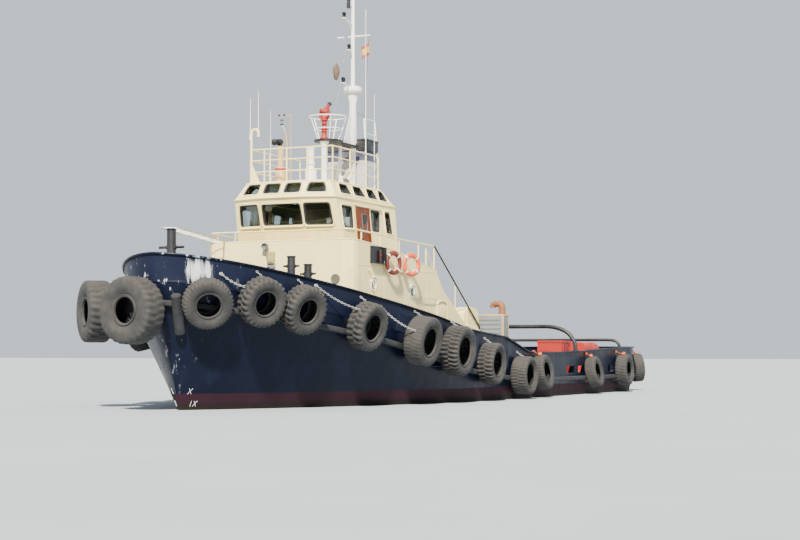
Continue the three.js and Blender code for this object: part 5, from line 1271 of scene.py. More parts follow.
def whip(x, y, low, high, r=0.014, lean=0.0):
    """A tapering aerial on a ferrule; its top leans aft by lean."""
    ferrule = [(0, 0), (0.028, 0), (0.032, 0.06), (0.022, 0.16), (0.016, 0.2), (0, 0.2)]
    base = turned(ferrule, (x, y, low), sides=14)
    path = np.linspace((x, y, low + 0.15), (x - lean, y - lean * 0.3, high), 6)
    return [base, tube(path, np.linspace(r, r * 0.45, 6), 8)]


piece(
    "whip_aerials",
    WHITE,
    *whip(8.31, -1.455, 8.2, 9.52),
    *whip(8.27, -1.19, 8.32, 9.74),
    *whip(8.0, -0.9, ROOF_Z, 9.12, 0.012, -0.03),
    *whip(5.2, 1.35, ROOF_Z, 9.9),
    *whip(4.3, 0.6, 4.2, 12.9, 0.02),
)

# Monitor platform
RING_X = 5.86
RING_R = 0.62
RING_POSTS = 5
MONITOR_X = 6.1
PLATFORM_Z = 8.41


def hoop(x, y, z, r, bar, sides=40):
    a = np.arange(sides) * 2 * math.pi / sides
    return tube(np.stack([x + r * np.cos(a), y + r * np.sin(a), 0 * a + z], -1), bar, 10, closed=True)


def platform():
    """The platform's riser and prop, and a ring rail that widens upwards on posts."""
    z = PLATFORM_Z
    riser = [(0, ROOF_Z), (0.17, ROOF_Z), (0.17, 6.83), (0.1, 6.86), (0.1, z - 0.2), (0.16, z - 0.07)]
    pieces = [
        turned(riser + [(0, z - 0.07)], (MONITOR_X, 0, 0)),
        tube([(5.0, 0, ROOF_Z), (4.98, 0, 7.5), (4.95, 0, z - 0.05)], 0.05, 16),
        hoop(RING_X, 0, z + 0.74, RING_R, 0.02),
        hoop(RING_X, 0, z + 0.35, 0.455, 0.016),
    ]
    middle = np.array([RING_X, 0, 0])
    for i in range(RING_POSTS):
        a = (i + 0.5) / RING_POSTS * 2 * math.pi
        way = np.array([math.cos(a), math.sin(a), 0])
        foot, head = middle + way * 0.34 + (0, 0, z - 0.03), middle + way * RING_R + (0, 0, z + 0.74)
        pieces.append(tube([foot, head], 0.019, 10))
    return pieces


disc_profile = [(0, 8.33), (0.42, 8.33), (0.44, 8.34), (0.44, 8.4), (0.425, PLATFORM_Z), (0, PLATFORM_Z)]
disc = turned(disc_profile, (RING_X, 0, 0), sides=48)
piece("monitor_stand", WHITE, *platform(), replaces=("monitor_platform",), slot="cream_paint")
walkway = block(4.16, MONITOR_X - 0.1, -0.28, 0.28, PLATFORM_Z - 0.09, PLATFORM_Z - 0.012, 0.03)
# The black on the disc and its walkway is painted shade for their undersides, which face away from the sun.
piece("platform_disc", BLACK, disc, walkway)


FLANGE_BOLTS = 8


def monitor_column():
    """The red standpipe with its bolted flanges."""
    z = PLATFORM_Z
    body = turned(
        [
            (0, z - 0.01), (0.15, z - 0.01), (0.15, z + 0.035), (0.1, z + 0.05), (0.082, z + 0.12),
            (0.082, z + 0.3), (0.11, z + 0.31), (0.11, z + 0.35), (0.082, z + 0.36),
            (0.082, z + 0.58), (0.128, z + 0.6), (0.128, z + 0.658), (0, z + 0.658),
        ],
        (MONITOR_X, 0, 0),
    )
    bolts = []
    for i in range(FLANGE_BOLTS):
        a = i / FLANGE_BOLTS * 2 * math.pi
        spot = (MONITOR_X + 0.125 * math.cos(a), 0.125 * math.sin(a), z + 0.03)
        bolts.append(turned([(0, 0), (0.014, 0), (0.014, 0.014), (0.01, 0.018), (0, 0.018)], spot, sides=6))
    return [body, *bolts]


piece("monitor_column", RED, *monitor_column())

HEAD_Z = 9.07
AXIS_Z = 9.31


def monitor_head():
    """The turning head: a geared base with a rim and two cheeks with rounded tops."""
    base = turned(
        [(0, 0.002), (0.128, 0.002), (0.128, 0.03), (0.118, 0.04), (0.118, 0.06), (0.1, 0.075), (0, 0.075)],
        (MONITOR_X, 0, HEAD_Z),
    )
    cheeks = []
    a = np.linspace(0, math.pi, 13)
    arc = np.stack([MONITOR_X + 0.085 * np.cos(a), 0 * a, AXIS_Z + 0.085 * np.sin(a)], -1)
    outline = np.vstack([arc, [(MONITOR_X - 0.11, 0, HEAD_Z + 0.03), (MONITOR_X + 0.11, 0, HEAD_Z + 0.03)]])
    for y0, y1 in ((0.112, 0.148), (-0.148, -0.112)):
        cheeks.append(tube_grid(np.array([outline + (0, y0, 0), outline + (0, y1, 0)])))
    foot = block(MONITOR_X - 0.1, MONITOR_X + 0.1, -0.146, 0.146, HEAD_Z + 0.025, HEAD_Z + 0.068, 0.02, 0.01)
    wheel = hoop(MONITOR_X, 0, 0, 0.1, 0.009, 24)
    wheel = (wheel[0][:, [0, 2, 1]] + np.array([0, 0.19, AXIS_Z - 0.1]), wheel[1])
    stub = cylinder(0.02, 0, 0.045, (MONITOR_X, 0.147, AXIS_Z - 0.1), (0, 1, 0), 14)
    return [base, foot, *cheeks, wheel, stub]


piece("monitor_yoke", RED, *monitor_head(), body="monitor_head", replaces=("monitor_head",))

BARREL_TILT = math.radians(38)


def monitor_barrel():
    """The barrel: an elbow drum on its trunnions, a tapering tube and a black nozzle that points
    aft and up."""
    way = np.array([-math.cos(BARREL_TILT), 0, math.sin(BARREL_TILT)])
    centre = np.array([MONITOR_X, 0, AXIS_Z])
    barrel = turned(
        [(0, -0.095), (0.06, -0.095), (0.072, -0.08), (0.072, 0.0), (0.068, 0.12), (0.056, 0.36), (0, 0.36)],
        centre,
        way,
    )
    outside = [(0, 0.352), (0.062, 0.352), (0.064, 0.38), (0.06, 0.4), (0.074, 0.468)]
    nozzle = turned(outside + [(0.064, 0.468), (0.046, 0.38), (0, 0.38)], centre, way)
    drum = [(0, -0.104), (0.06, -0.104), (0.07, -0.09), (0.07, 0.09), (0.06, 0.104), (0, 0.104)]
    pin = [(0, -0.15), (0.034, -0.15), (0.04, -0.142), (0.04, 0.142), (0.034, 0.15), (0, 0.15)]
    return [barrel, turned(drum, centre, (0, 1, 0)), turned(pin, centre, (0, 1, 0), 24)], nozzle


barrel_parts, nozzle_part = monitor_barrel()
piece(
    "monitor_tube", RED, *barrel_parts, body="monitor_barrel", replaces=("monitor_barrel",)
)
piece("monitor_nozzle", BLACK, nozzle_part, body="monitor_barrel")

# Mast
MAST_X = 4.05
LANTERNS = [(0.72, 10.43), (0.29, 11.6), (0.67, 12.6)]  # how far ahead of the mast, and height
STACK_REACH = 0.33  # the upper lamps stand this far ahead of the mast
YARD_Z = 12.08
RADOME_Z = 10.16


def mast():
    """The mast: one turned profile from the upper deck to the truck, a gusset, lantern brackets
    and the yard."""
    profile = [
        (0, 4.2), (0.2, 4.2), (0.2, 4.22), (0.105, 4.24), (0.105, 8.46), (0.14, 8.52),
        (0.115, 9.77), (0.112, 9.8), (0.19, 10.15), (0.19, 10.16), (0.075, 10.17), (0.07, 11.0),
        (0.046, 14.46), (0.03, 14.495), (0, 14.5),
    ]
    pieces = [turned(profile, (MAST_X, 0, 0), sides=32)]
    corners = [(4.0, 0, 8.45), (4.74, 0, 8.42), (4.56, 0, 8.8), (4.4, 0, 9.15), (4.1, 0, 9.79)]
    outline = rounded(corners, 0.05, 4)
    pieces.append(tube_grid(np.array([outline - (0, 0.011, 0), outline + (0, 0.01, 0)])))
    for reach, z in LANTERNS:
        arm = [(MAST_X, 0, z - 0.16), (MAST_X + reach * 0.55, 0, z - 0.03), (MAST_X + reach, 0, z - 0.015)]
        pieces.append(bent_bar(arm, 0.02, 0.1))
        shelf = [(0, z - 0.02), (0.085, z - 0.02), (0.09, z), (0, z)]
        pieces.append(turned(shelf, (MAST_X + reach, 0, 0), sides=20))
        if reach > 0.5:
            rib = [(MAST_X + 0.02, 0, z - 0.3), (MAST_X + reach * 0.7, 0, z - 0.03)]
            pieces.append(tube(rib, 0.012, 8))
    pieces.append(tube([(MAST_X, 0, 13.12), (MAST_X + STACK_REACH, 0, 13.12)], 0.02, 10))
    yard = [(MAST_X, -0.56, YARD_Z), (MAST_X, 0, YARD_Z + 0.005), (MAST_X, 0.62, YARD_Z)]
    pieces.append(tube(yard, 0.028, 12))
    for y in (-0.54, 0.6):
        pieces.append(cylinder(0.035, -0.02, 0.02, (MAST_X, y, YARD_Z), (0, 1, 0), 12))
    return pieces


def radome():
    """The radar's drum, a turned profile with a band at its waist."""
    z = RADOME_Z
    profile = [(0.08, z), (0.24, z), (0.3, z + 0.05), (0.312, z + 0.09), (0.312, z + 0.11)]
    profile += [(0.306, z + 0.115), (0.306, z + 0.17), (0.29, z + 0.215), (0.22, z + 0.25), (0.08, z + 0.25)]
    return turned(profile, (MAST_X, 0, 0), sides=48, ring=True)


piece("mast_pole", WHITE, *mast(), radome(), replaces=("mast",))


def lanterns():
    """Masthead lamps: a foot, a clear lens, a cap and a screen behind; and the stack of two lamps
    above them, with a groove between."""
    bodies, lenses = [], []
    for reach, z in LANTERNS:
        x = MAST_X + reach
        top = z + 0.135
        foot = [(0, z), (0.07, z), (0.07, z + 0.03), (0.05, z + 0.035), (0, z + 0.035)]
        bodies.append(turned(foot, (x, 0, 0), sides=24))
        lenses.append(cylinder(0.055, z + 0.035, top, (x, 0, 0)))
        cap = [(0, top), (0.07, top), (0.072, z + 0.16), (0.04, z + 0.185), (0.012, z + 0.2), (0, z + 0.2)]
        bodies.append(turned(cap, (x, 0, 0), sides=24))
        screen = np.array([(0.069, z + 0.02), (0.069, z + 0.15), (0.064, z + 0.15), (0.064, z + 0.02)])
        a = np.linspace(math.pi * 0.6, math.pi * 1.4, 12)
        wall = np.stack([x + screen[:, :1] * np.cos(a), screen[:, :1] * np.sin(a), screen[:, 1:] + 0 * a], -1)
        bodies.append(joined(grid(wall, close_u=True), fan(wall[:, 0]), fan(wall[:, -1])))
    stack = [(0, 12.98), (0.06, 12.98), (0.06, 13.16), (0.05, 13.17), (0.05, 13.23), (0.06, 13.24)]
    stack += [(0.06, 13.38), (0.04, 13.42), (0, 13.42)]
    bodies.append(turned(stack, (MAST_X + STACK_REACH, 0, 0), sides=24))
    return bodies, lenses


lamp_bodies, lamp_lenses = lanterns()
piece("lantern_bodies", PLASTIC, *lamp_bodies)
piece("lantern_lenses", LENS, *lamp_lenses)

# Funnel


FUNNEL_AFT, FUNNEL_FRONT = 3.0, 3.85
FUNNEL_STARBOARD, FUNNEL_PORT = -1.06, 0.36
FUNNEL_CAP_Z = 8.29
LOUVRES = 9
LOUVRE_Z = 5.6
LOUVRE_STEP = 0.13
EXHAUST_LEAN = (-0.06, 0, 0.17)
FUNNEL_RAIL_Y = 0.31


def round_funnel(aft, front, beside, low, high, corner, bevel):
    """A block that stands outside the funnel's walls by aft, front and, on each side, beside."""
    x0, x1 = FUNNEL_AFT - aft, FUNNEL_FRONT + front
    return block(x0, x1, FUNNEL_STARBOARD - beside, FUNNEL_PORT + beside, low, high, corner, bevel)


def funnel():
    """The casing with rounded corners, its foot, its flared cap with a lip, and louvres."""
    casing = [
        round_funnel(0, 0, 0, HOUSE_TOP, FUNNEL_CAP_Z + 0.01, 0.05, 0.01),
        round_funnel(0.06, 0.03, 0.06, FUNNEL_CAP_Z, 8.68, 0.05, 0.012),
        round_funnel(0.08, 0.05, 0.075, 8.62, 8.66, 0.06, 0.01),
        round_funnel(0.02, 0.02, 0.02, HOUSE_TOP, HOUSE_TOP + 0.06, 0.06, 0.01),
    ]
    louvres = []
    for i in range(LOUVRES):
        z = LOUVRE_Z + i * LOUVRE_STEP
        for y, slope, thick in ((FUNNEL_PORT, -0.35, -0.012), (FUNNEL_STARBOARD, 0.35, 0.012)):
            spot = (3.43, y + math.copysign(0.005, slope), z)
            louvres.append(slab(spot, (1, 0, 0), (0, slope, 1), (0.5, 0.08), thick, 0.006, 0.003))
    return [*casing, *louvres]


def exhaust(y):
    """An open exhaust pipe, leaning aft."""
    profile = [(0.1, 0), (0.13, 0), (0.13, 0.085), (0.118, 0.09), (0.118, 0.03), (0.0, 0.03)]
    return turned(profile, (3.24, y, 8.63), EXHAUST_LEAN, 28)


piece("funnel_casing", FUNNEL_PAINT, *funnel(), replaces=("funnel",))
piece("exhaust_pipes", BLACK, exhaust(-0.62), exhaust(-0.08))
rail_frame = [
    (FUNNEL_FRONT, 0.39, 8.1),
    (FUNNEL_FRONT, FUNNEL_RAIL_Y, 9.35),
    (FUNNEL_AFT, FUNNEL_RAIL_Y, 9.35),
    (FUNNEL_AFT, 0.39, 8.1),
]
piece(
    "funnel_rail",
    WHITE,
    bent_bar(rail_frame, 0.022, 0.07, 5, 12),
    tube([(FUNNEL_FRONT, 0.35, 8.85), (FUNNEL_AFT, 0.35, 8.85)], 0.016, 10),
)

# Searchlight, canister and the small gear on the roof

LIGHT_X, LIGHT_Y, LIGHT_Z = 7.3, -0.93, 8.09
LIGHT_FINS = 5
YOKE_HALF = 0.108
YOKE_X = (LIGHT_X + YOKE_HALF, LIGHT_X + YOKE_HALF, LIGHT_X - YOKE_HALF, LIGHT_X - YOKE_HALF)


def searchlight_post():
    """The pedestal: a wide cylinder with a rusty hoop and a slimmer pipe with a flange."""
    spot = (LIGHT_X, LIGHT_Y, 0)
    wide = [(0, ROOF_Z), (0.2, ROOF_Z), (0.2, 6.83), (0.18, 6.84), (0.166, 7.4), (0.15, 7.42), (0, 7.42)]
    low = turned(wide, spot)
    high = turned([(0, 7.41), (0.095, 7.41), (0.095, 8.03), (0.125, 8.04), (0.125, 8.085), (0, 8.085)], spot)
    hoop_band = turned([(0.16, 7.3), (0.176, 7.3), (0.176, 7.38), (0.16, 7.38)], spot, ring=True)
    return low, high, hoop_band


post_low, post_high, post_hoop = searchlight_post()
piece("searchlight_pedestal", TAN, post_low, post_high, replaces=("searchlight_post",))
piece("pedestal_hoop", RED, post_hoop)


def searchlight():
    """The lamp: a drum with cooling fins and a bezel on a forked yoke; it looks to starboard."""
    centre = np.array([LIGHT_X, LIGHT_Y + 0.06, LIGHT_Z + 0.14])
    way = (0, -1, 0)
    profile = [(0, 0), (0.06, 0), (0.084, 0.02)]
    for i in range(LIGHT_FINS):
        at = 0.05 + i * 0.03
        profile += [(0.084, at), (0.094, at + 0.005), (0.094, at + 0.012), (0.084, at + 0.017)]
    profile += [(0.088, 0.22), (0.1, 0.25), (0.1, 0.335), (0.088, 0.338), (0.085, 0.3), (0, 0.3)]
    drum = turned(profile, centre, way, 36)
    lens = turned([(0, 0.3), (0.084, 0.3), (0.08, 0.312), (0, 0.32)], centre, way, 36)
    foot = [(0, 0.004), (0.045, 0.004), (0.045, 0.05), (0.03, 0.06), (0, 0.06)]
    stem = turned(foot, (LIGHT_X, LIGHT_Y, LIGHT_Z))
    fork = [(x, LIGHT_Y - 0.05, LIGHT_Z + z) for x, z in zip(YOKE_X, (0.15, 0.03, 0.03, 0.15))]
    yoke = rounded(fork, 0.05, 5, closed=False)
    return [drum, stem, sweep(yoke, rounded_rectangle(0.04, 0.01, 0.004, 3), up=(0, 1, 0))], lens


light_parts, light_lens = searchlight()
piece(
    "searchlight_drum", BLACK, *light_parts, body="searchlight", replaces=("searchlight",)
)
piece("searchlight_lens", LENS, light_lens, body="searchlight")


def canister():
    """A white vent: wide foot, slim neck, flanges and a mushroom rim."""
    profile = [(0, ROOF_Z), (0.2, ROOF_Z), (0.2, 6.825), (0.185, 6.83), (0.185, 7.4), (0.17, 7.44)]
    profile += [(0.105, 7.45), (0.105, 7.56), (0.14, 7.565), (0.14, 7.605), (0.105, 7.61)]
    profile += [(0.105, 8.05), (0.13, 8.06), (0.13, 8.1), (0.115, 8.11), (0, 8.11)]
    return turned(profile, (6.5, -0.27, 0))


piece("vent_canister", WHITE, canister(), replaces=("roof_canister",))


HORN_AT = (6.3, 0.75)


def loudhailer():
    """A white horn: the radius opens out as t^2.2, t being the share of the way along it."""
    t = np.linspace(0, 1, 14)
    mouth = np.stack([0.035 + 0.15 * t**2.2, 0.42 * t], -1)
    inner = mouth[::-1] - np.array([0.012, 0])
    profile = np.vstack([[(0, -0.1), (0.05, -0.1), (0.05, -0.01)], mouth, inner[:-1], [(0, 0.0)]])
    x, y = HORN_AT
    leg = tube([(x, y, ROOF_Z), (x, y, 7.1)], 0.03, 12)
    return [turned(profile, (x, y, 7.12), (0.4, 0.75, 0.12), 32), leg, foot_pad((x, y, ROOF_Z), 0.08)]


piece("loudhailer", WHITE, *loudhailer())


BENT_LAMP = (7.62, -0.72, 8.72)
POLE_X, POLE_Y = 7.2, -0.62


def bent_lamp():
    """An all-round lamp on a curved bracket above the front rail, and a slim pole with a cross
    arm that carries small aerials."""
    base = np.array([BENT_LAMP[0], -0.52, ROOF_Z])
    path = [base, base + (0, 0, 1.25), base + (0, -0.06, 1.7), base + (0, -0.2, 1.92)]
    arm = bent_bar(path, 0.028, 0.2, 6, 12)
    pole = tube([(POLE_X, POLE_Y, ROOF_Z), (POLE_X, POLE_Y, 9.12)], 0.016, 10)
    cross = tube([(POLE_X, -1.05, 9.06), (POLE_X, -0.58, 9.06)], 0.014, 8)
    return [arm, foot_pad(base, 0.07), foot_pad((POLE_X, POLE_Y, ROOF_Z), 0.05), pole, cross]


cup = [(0, -0.02), (0.03, -0.02), (0.035, 0.03), (0, 0.05)]
lamp_housing = [
    turned([(0, 0), (0.05, 0), (0.05, 0.03), (0.04, 0.035), (0, 0.035)], BENT_LAMP, sides=20),
    turned([(0, 0.135), (0.052, 0.135), (0.045, 0.165), (0, 0.18)], BENT_LAMP, sides=20),
    *(turned(cup, (POLE_X, y, 9.08), sides=14) for y in (-1.04, -0.86)),
]
piece("lamp_bracket", TAN, *bent_lamp())
piece("lamp_housing", PLASTIC, *lamp_housing)
piece("lamp_lens", LENS, cylinder(0.042, 0.035, 0.135, BENT_LAMP, sides=20))

# Sidelights and lifebuoys


def sidelight():
    """The port sidelight: a black screen with a flanged board, a shelf and an end plate, and the
    lamp before it."""
    y, aft, front, low = HOUSE_SIDE, 7.05, 7.96, 4.28
    shell = [
        block(aft, front, y, y + 0.035, low, 4.8, 0.04, 0.004),
        block(aft, front, y, y + 0.14, low, 4.305, 0.02, 0.004),
        block(aft, 7.08, y, y + 0.14, low, 4.8, 0.01, 0.004),
        block(aft, front, y, y + 0.05, 4.78, 4.81, 0.01, 0.004),
    ]
    lamp = (7.4, y + 0.085, 0)
    shell.append(turned([(0, 4.3), (0.05, 4.3), (0.05, 4.36), (0.036, 4.365), (0, 4.365)], lamp, sides=24))
    housing = [cylinder(0.05, z, z + 0.05, lamp) for z in (4.365, 4.5)]
    cap = [(0, 4.635), (0.05, 4.635), (0.045, 4.69), (0.02, 4.71), (0, 4.71)]
    housing.append(turned(cap, lamp, sides=24))
    lens = [cylinder(0.042, z, z + 0.085, lamp) for z in (4.415, 4.55)]
    return joined(*shell), joined(*housing), joined(*lens)


screen, housing, lens = sidelight()
for (side, put), tint in zip(SIDES, (LAMP_RED, LAMP_GREEN)):
    piece("sidelight_screen_" + side, BLACK, put(screen), replaces=("sidelight_" + side,))
    piece("sidelight_housing_" + side, PLASTIC, put(housing))
    piece("sidelight_lens_" + side, tint, put(lens))

BUOY_Z = 4.34
RACK_Y = 2.54  # where the brackets leave the coaming
# Lifebuoys: x, y, degrees that the face is turned from ahead, paint, word
BUOYS = [(5.5, 2.8, 66, ORANGE, "aft"), (6.68, 2.72, 74, MAROON, "forward")]
BUOY_OUT, BUOY_IN = 0.375, 0.225


def buoy(x, y, heading):
    """A lifebuoy: an oval section turned about its heading, four bands of tape round it and a grab
    line that hangs in four loops between them."""
    h = math.radians(heading)
    centre = np.array([x, y, BUOY_Z])
    facing = np.array([math.cos(h), math.sin(h), 0])
    across = np.array([-math.sin(h), math.cos(h), 0])
    up = np.array([0, 0, 1.0])
    a = np.arange(16) * 2 * math.pi / 16
    middle, half = (BUOY_OUT + BUOY_IN) / 2, (BUOY_OUT - BUOY_IN) / 2
    section = np.stack([middle + half * np.cos(a), 0.052 * np.sin(a)], -1)
    ring = turned(section, centre, facing, 48, ring=True)
    wrap = np.stack([middle + (half + 0.004) * np.cos(a), 0.056 * np.sin(a)], -1)
    bands = []
    for k in range(4):
        around = np.linspace(-0.09, 0.09, 5)[:, None, None] + k * math.pi / 2 + math.pi / 4
        way = across * np.cos(around) + up * np.sin(around)
        bands.append(tube_grid(centre + wrap[None, :, :1] * way + wrap[None, :, 1:] * facing))
    t = np.linspace(0, 2 * math.pi, 97)[:-1, None]
    loops = np.abs(np.sin(2 * (t - math.pi / 4)))
    swell = BUOY_OUT + 0.012 + 0.03 * loops
    grab = centre + swell * (across * np.cos(t) + up * np.sin(t)) - 0.02 * loops * up
    return ring, bands, tube(grab, 0.006, 6, closed=True)


def buoy_racks():
    """The buoys' brackets: a back bar on the coaming, an arm out to each buoy and its hook."""
    low = BUOY_Z - 0.24
    bars = [tube([(BUOYS[0][0], RACK_Y + 0.015, low), (BUOYS[1][0], RACK_Y + 0.015, low)], 0.02, 10)]
    for x, y, *_ in BUOYS:
        bars.append(bent_bar([(x, RACK_Y, low), (x, y + 0.07, low), (x, y + 0.07, low + 0.1)], 0.018, 0.04))
        bars.append(tube([(x, RACK_Y, 4.62), (x, y - 0.05, 4.6)], 0.014, 8))
        bars.append(tube([(x, y, 3.985), (x, y, low + 0.01)], 0.014, 8))
    return bars


for x, y, heading, paint, word in BUOYS:
    ring, bands, grab = buoy(x, y, heading)
    ends = ("lifebuoys_port", "lifebuoys_starboard") if word == "aft" else ()
    piece("lifebuoys_" + word, paint, both(ring), replaces=ends)
    piece("buoy_tapes_" + word, TAPE, *(both(b) for b in bands))
    piece("buoy_lines_" + word, ROPE, both(grab))
piece("buoy_racks", CREAM, *(both(b) for b in buoy_racks()))

# Bitts


def bitt(x, y, top, r, bar_half, bar_below, bar_r):
    """A round post with a rounded cap, a weld bead at its foot, and a crossbar in a collar."""
    foot = float(deck_z(x)) - 0.05
    profile = [(0, foot), (r + 0.02, foot), (r + 0.02, foot + 0.06), (r, foot + 0.08), (r, top - 0.005)]
    profile += [(r + 0.025, top), (r + 0.025, top + 0.018), (r + 0.012, top + 0.025), (0, top + 0.025)]
    post = turned(profile, (x, y, 0), sides=32)
    z = top - bar_below
    bar = tube([(x, y - bar_half, z), (x, y + bar_half, z)], bar_r, 16)
    collar = cylinder(bar_r + 0.02, -r - 0.03, r + 0.03, (x, y, z), (0, 1, 0), 20)
    return [post, bar, collar]


bow_bitt = bitt(15.05, 0, 4.89, 0.125, 0.39, 0.48, 0.035)
piece("bow_bitt_post", BLACK, *bow_bitt, replaces=("bitt_bow",))
FORE_BITT_Y = 2.05
FORE_BITT_HEIGHT = 1.5
AFT_BITT_Y = 3.25
AFT_BITT_TOP = 1.75


def sloping_base(x0, x1, y0, y1, rise):
    """A doubling plate that follows the deck's slope."""
    x = np.linspace(x0, x1, 12)
    path = np.stack([x, 0 * x + (y0 + y1) / 2, deck_z(x) + rise / 2 - 0.01], -1)
    return sweep(path, rounded_rectangle(y1 - y0, rise + 0.02, 0.012, 3))


fore_bitts, aft_bitts = [], []
for x in (12.05, 11.05):
    fore_bitts += bitt(x, FORE_BITT_Y, float(deck_z(x)) + FORE_BITT_HEIGHT, 0.115, 0.25, 0.26, 0.03)
for x in (-13.25, -12.65):
    aft_bitts += bitt(x, AFT_BITT_Y, AFT_BITT_TOP, 0.11, 0.22, 0.2, 0.028)
fore_bitts.append(sloping_base(10.75, 12.35, FORE_BITT_Y - 0.2, FORE_BITT_Y + 0.2, 0.04))
aft_bitts.append(sloping_base(-13.5, -12.4, AFT_BITT_Y - 0.2, AFT_BITT_Y + 0.2, 0.05))
for name, node, bitts in (("fore_bitts_", "bitts_", fore_bitts), ("quarter_bitts_", "bitts_aft_", aft_bitts)):
    for side, put in SIDES:
        piece(name + side, BLACK, put(joined(*bitts)), replaces=(node + side,))


LADDER_RUNGS = 20


def ladder():
    """The boarding ladder from the bow bitt to the front rail."""
    a, b = np.array([15.12, -0.05, 4.945]), np.array([8.96, -2.18, 4.98])
    half = np.array([0.075, -0.21, 0])
    pieces = [tube([a + k * half, b + k * half], 0.024, 10) for k in (1, -1)]
    for i in range(LADDER_RUNGS):
        p = a + (i + 0.5) / LADDER_RUNGS * (b - a)
        pieces.append(tube([p + half, p - half], 0.014, 8))
    return pieces


piece("gangway_ladder", ALUMINIUM, *ladder(), replaces=("boarding_ladder",))

# Deck gear aft

# Tow bows: x, height of the top, bar's radius, how far the top bends in, word
ARCHES = [(-6.15, 2.56, 0.075, 0.9, "forward"), (-11.65, 2.09, 0.06, 0.3, "aft")]
ARCH_Y = 4.27
for x, height, r, bend, word in ARCHES:
    foot = float(sheer_z(x)) - 0.03
    port = [
        (x, ARCH_Y, foot),
        (x, ARCH_Y, foot + (height - foot) * 0.35),
        (x, ARCH_Y - bend * 0.35, height - (height - foot) * 0.2),
        (x, ARCH_Y - bend, height),
    ]
    bow = bent_bar(port + [(px, -py, pz) for px, py, pz in reversed(port)], r, 0.35, 7, 18)
    pad = [(0, 0.0), (r + 0.07, 0.0), (r + 0.07, 0.014), (r + 0.01, 0.03), (0, 0.03)]
    pads = both(turned(pad, (x, ARCH_Y, foot + 0.028)))
    piece("tow_bow_" + word, BLACK, bow, pads, replaces=("tow_arch_" + word,))


MACHINERY = (-3.9, -3.35, 0.95, 2.46)  # aft, front, starboard and port faces
GOOSENECK_X = -3.65
BOX_LOUVRES = 10


def machinery():
    """A grey vent house with corner angles and a louvred front, and a gooseneck vent: a narrowing
    pipe carried round a half turn, with a flared lip."""
    aft, front, starboard, port = MACHINERY
    low = float(deck_z(-3.6)) - 0.03
    box_part = block(aft, front, starboard, port, low, 2.95, 0.03, 0.012)
    frames = []
    for x in (aft - 0.005, front - 0.045):
        for y in (starboard - 0.005, port - 0.045):
            frames.append(block(x, x + 0.05, y, y + 0.05, low, 2.96, 0.01, 0.006))
    frames.append(block(aft - 0.01, front + 0.01, starboard - 0.01, port + 0.01, 2.9, 2.965, 0.03, 0.01))
    louvres = []
    for i in range(BOX_LOUVRES):
        spot = (front - 0.002, 1.7, 1.3 + 0.16 * i)
        louvres.append(slab(spot, (0, 1, 0), (0.35, 0, 1), (1.3, 0.11), 0.01, 0.01, 0.003))
    x = GOOSENECK_X
    path = rounded([(x, 2.3, 2.93), (x, 2.3, 3.36), (x, 1.96, 3.36), (x, 1.94, 3.24)], 0.17, 9, closed=False)
    neck = tube(path, np.linspace(0.128, 0.1, len(path)), 24)
    flared = [(0.085, 0), (0.118, 0), (0.124, 0.05), (0.1, 0.07), (0.085, 0.07)]
    mouth = turned(flared, (x, 1.94, 3.225), sides=28, ring=True)
    foot = turned([(0, 0), (0.17, 0), (0.17, 0.02), (0.13, 0.03), (0, 0.03)], (x, 2.3, 2.955))
    return [box_part, *louvres], frames, [neck, mouth, foot]


box_parts, box_frames, necks = machinery()
piece("machinery_house", GREY, *box_parts, replaces=("machinery_box",))
piece("machinery_angles", TAN, *box_frames)
piece("gooseneck_vent", BROWN, *necks)


def gear_cover():
    """The red cover: its section, flat sides under a top with round edges, carried from its
    sloping after end forward, the top rippling a little along it; and its hem."""
    rows = np.r_[np.linspace(-12.3, -11.88, 6), np.linspace(-11.7, -10.15, 14)]
    top = np.where(rows < -11.88, 1.3 + (rows + 12.31) * 1.6, 1.98) + 0.012 * np.cos((rows + 10.15) * 8)
    low = deck_z(rows) - 0.03
    a = np.linspace(0, math.pi / 2, 7)
    rings = []
    for x, high, foot in zip(rows, top, low):
        y = np.r_[3.05 + 0.3 * np.cos(a), 2.75 - 0.3 * np.sin(a)]
        z = np.r_[high - 0.3 + 0.3 * np.sin(a), high - 0.3 + 0.3 * np.cos(a)]
        y, z = np.r_[2.45, 3.35, y], np.r_[foot, foot, z]
        rings.append(np.stack([0 * y + x, y, z], -1))
    hem = block(-12.28, -10.14, 2.44, 3.36, float(deck_z(-11)) - 0.02, float(deck_z(-11)) + 0.07, 0.02)
    return [tube_grid(np.array(rings)), hem]


piece("deck_cover", RED, *gear_cover(), replaces=("gear_cover",))


def lid_trim():
    """The locker lid's rounded top skin and its hasps."""
    skin = block(-8.27, -7.23, 2.36, 3.37, 1.99, 2.035, 0.05, 0.02)
    hasps = [block(x - 0.03, x + 0.03, 3.37, 3.39, 1.9, 2.01, 0.008, 0.003) for x in (-8.0, -7.5)]
    return [skin, *hasps]


piece("locker_lid_skin", RED, *lid_trim(), body="locker_lid")
ribs = [block(x - 0.02, x + 0.02, 2.34, 3.362, 0.9, 1.93, 0.006, 0.004) for x in (-8.1, -7.4)]
piece("locker_ribs", RED, *ribs)

# Deckhouse details


def porthole(centre, normal, r):
    """A ring frame with its glass, and a drip eyebrow over it."""
    frame_part = [(r - 0.03, -0.02), (r + 0.045, -0.02), (r + 0.045, 0.012), (r + 0.025, 0.026)]
    frame_part += [(r - 0.015, 0.022), (r - 0.03, 0.005)]
    frame_ring = turned(frame_part, centre, normal, ring=True)
    a = np.linspace(math.pi * 0.12, math.pi * 0.88, 13)
    across = unit(np.cross((0, 0, 1.0), normal))
    arc = np.asarray(centre) + (r + 0.075) * (np.outer(np.cos(a), across) + np.outer(np.sin(a), (0, 0, 1)))
    brow = sweep(arc + np.asarray(normal) * 0.02, rounded_rectangle(0.012, 0.05, 0.004, 3), up=normal)
    return [frame_ring, brow], cylinder(r - 0.02, -0.012, 0.0, centre, normal, 32)


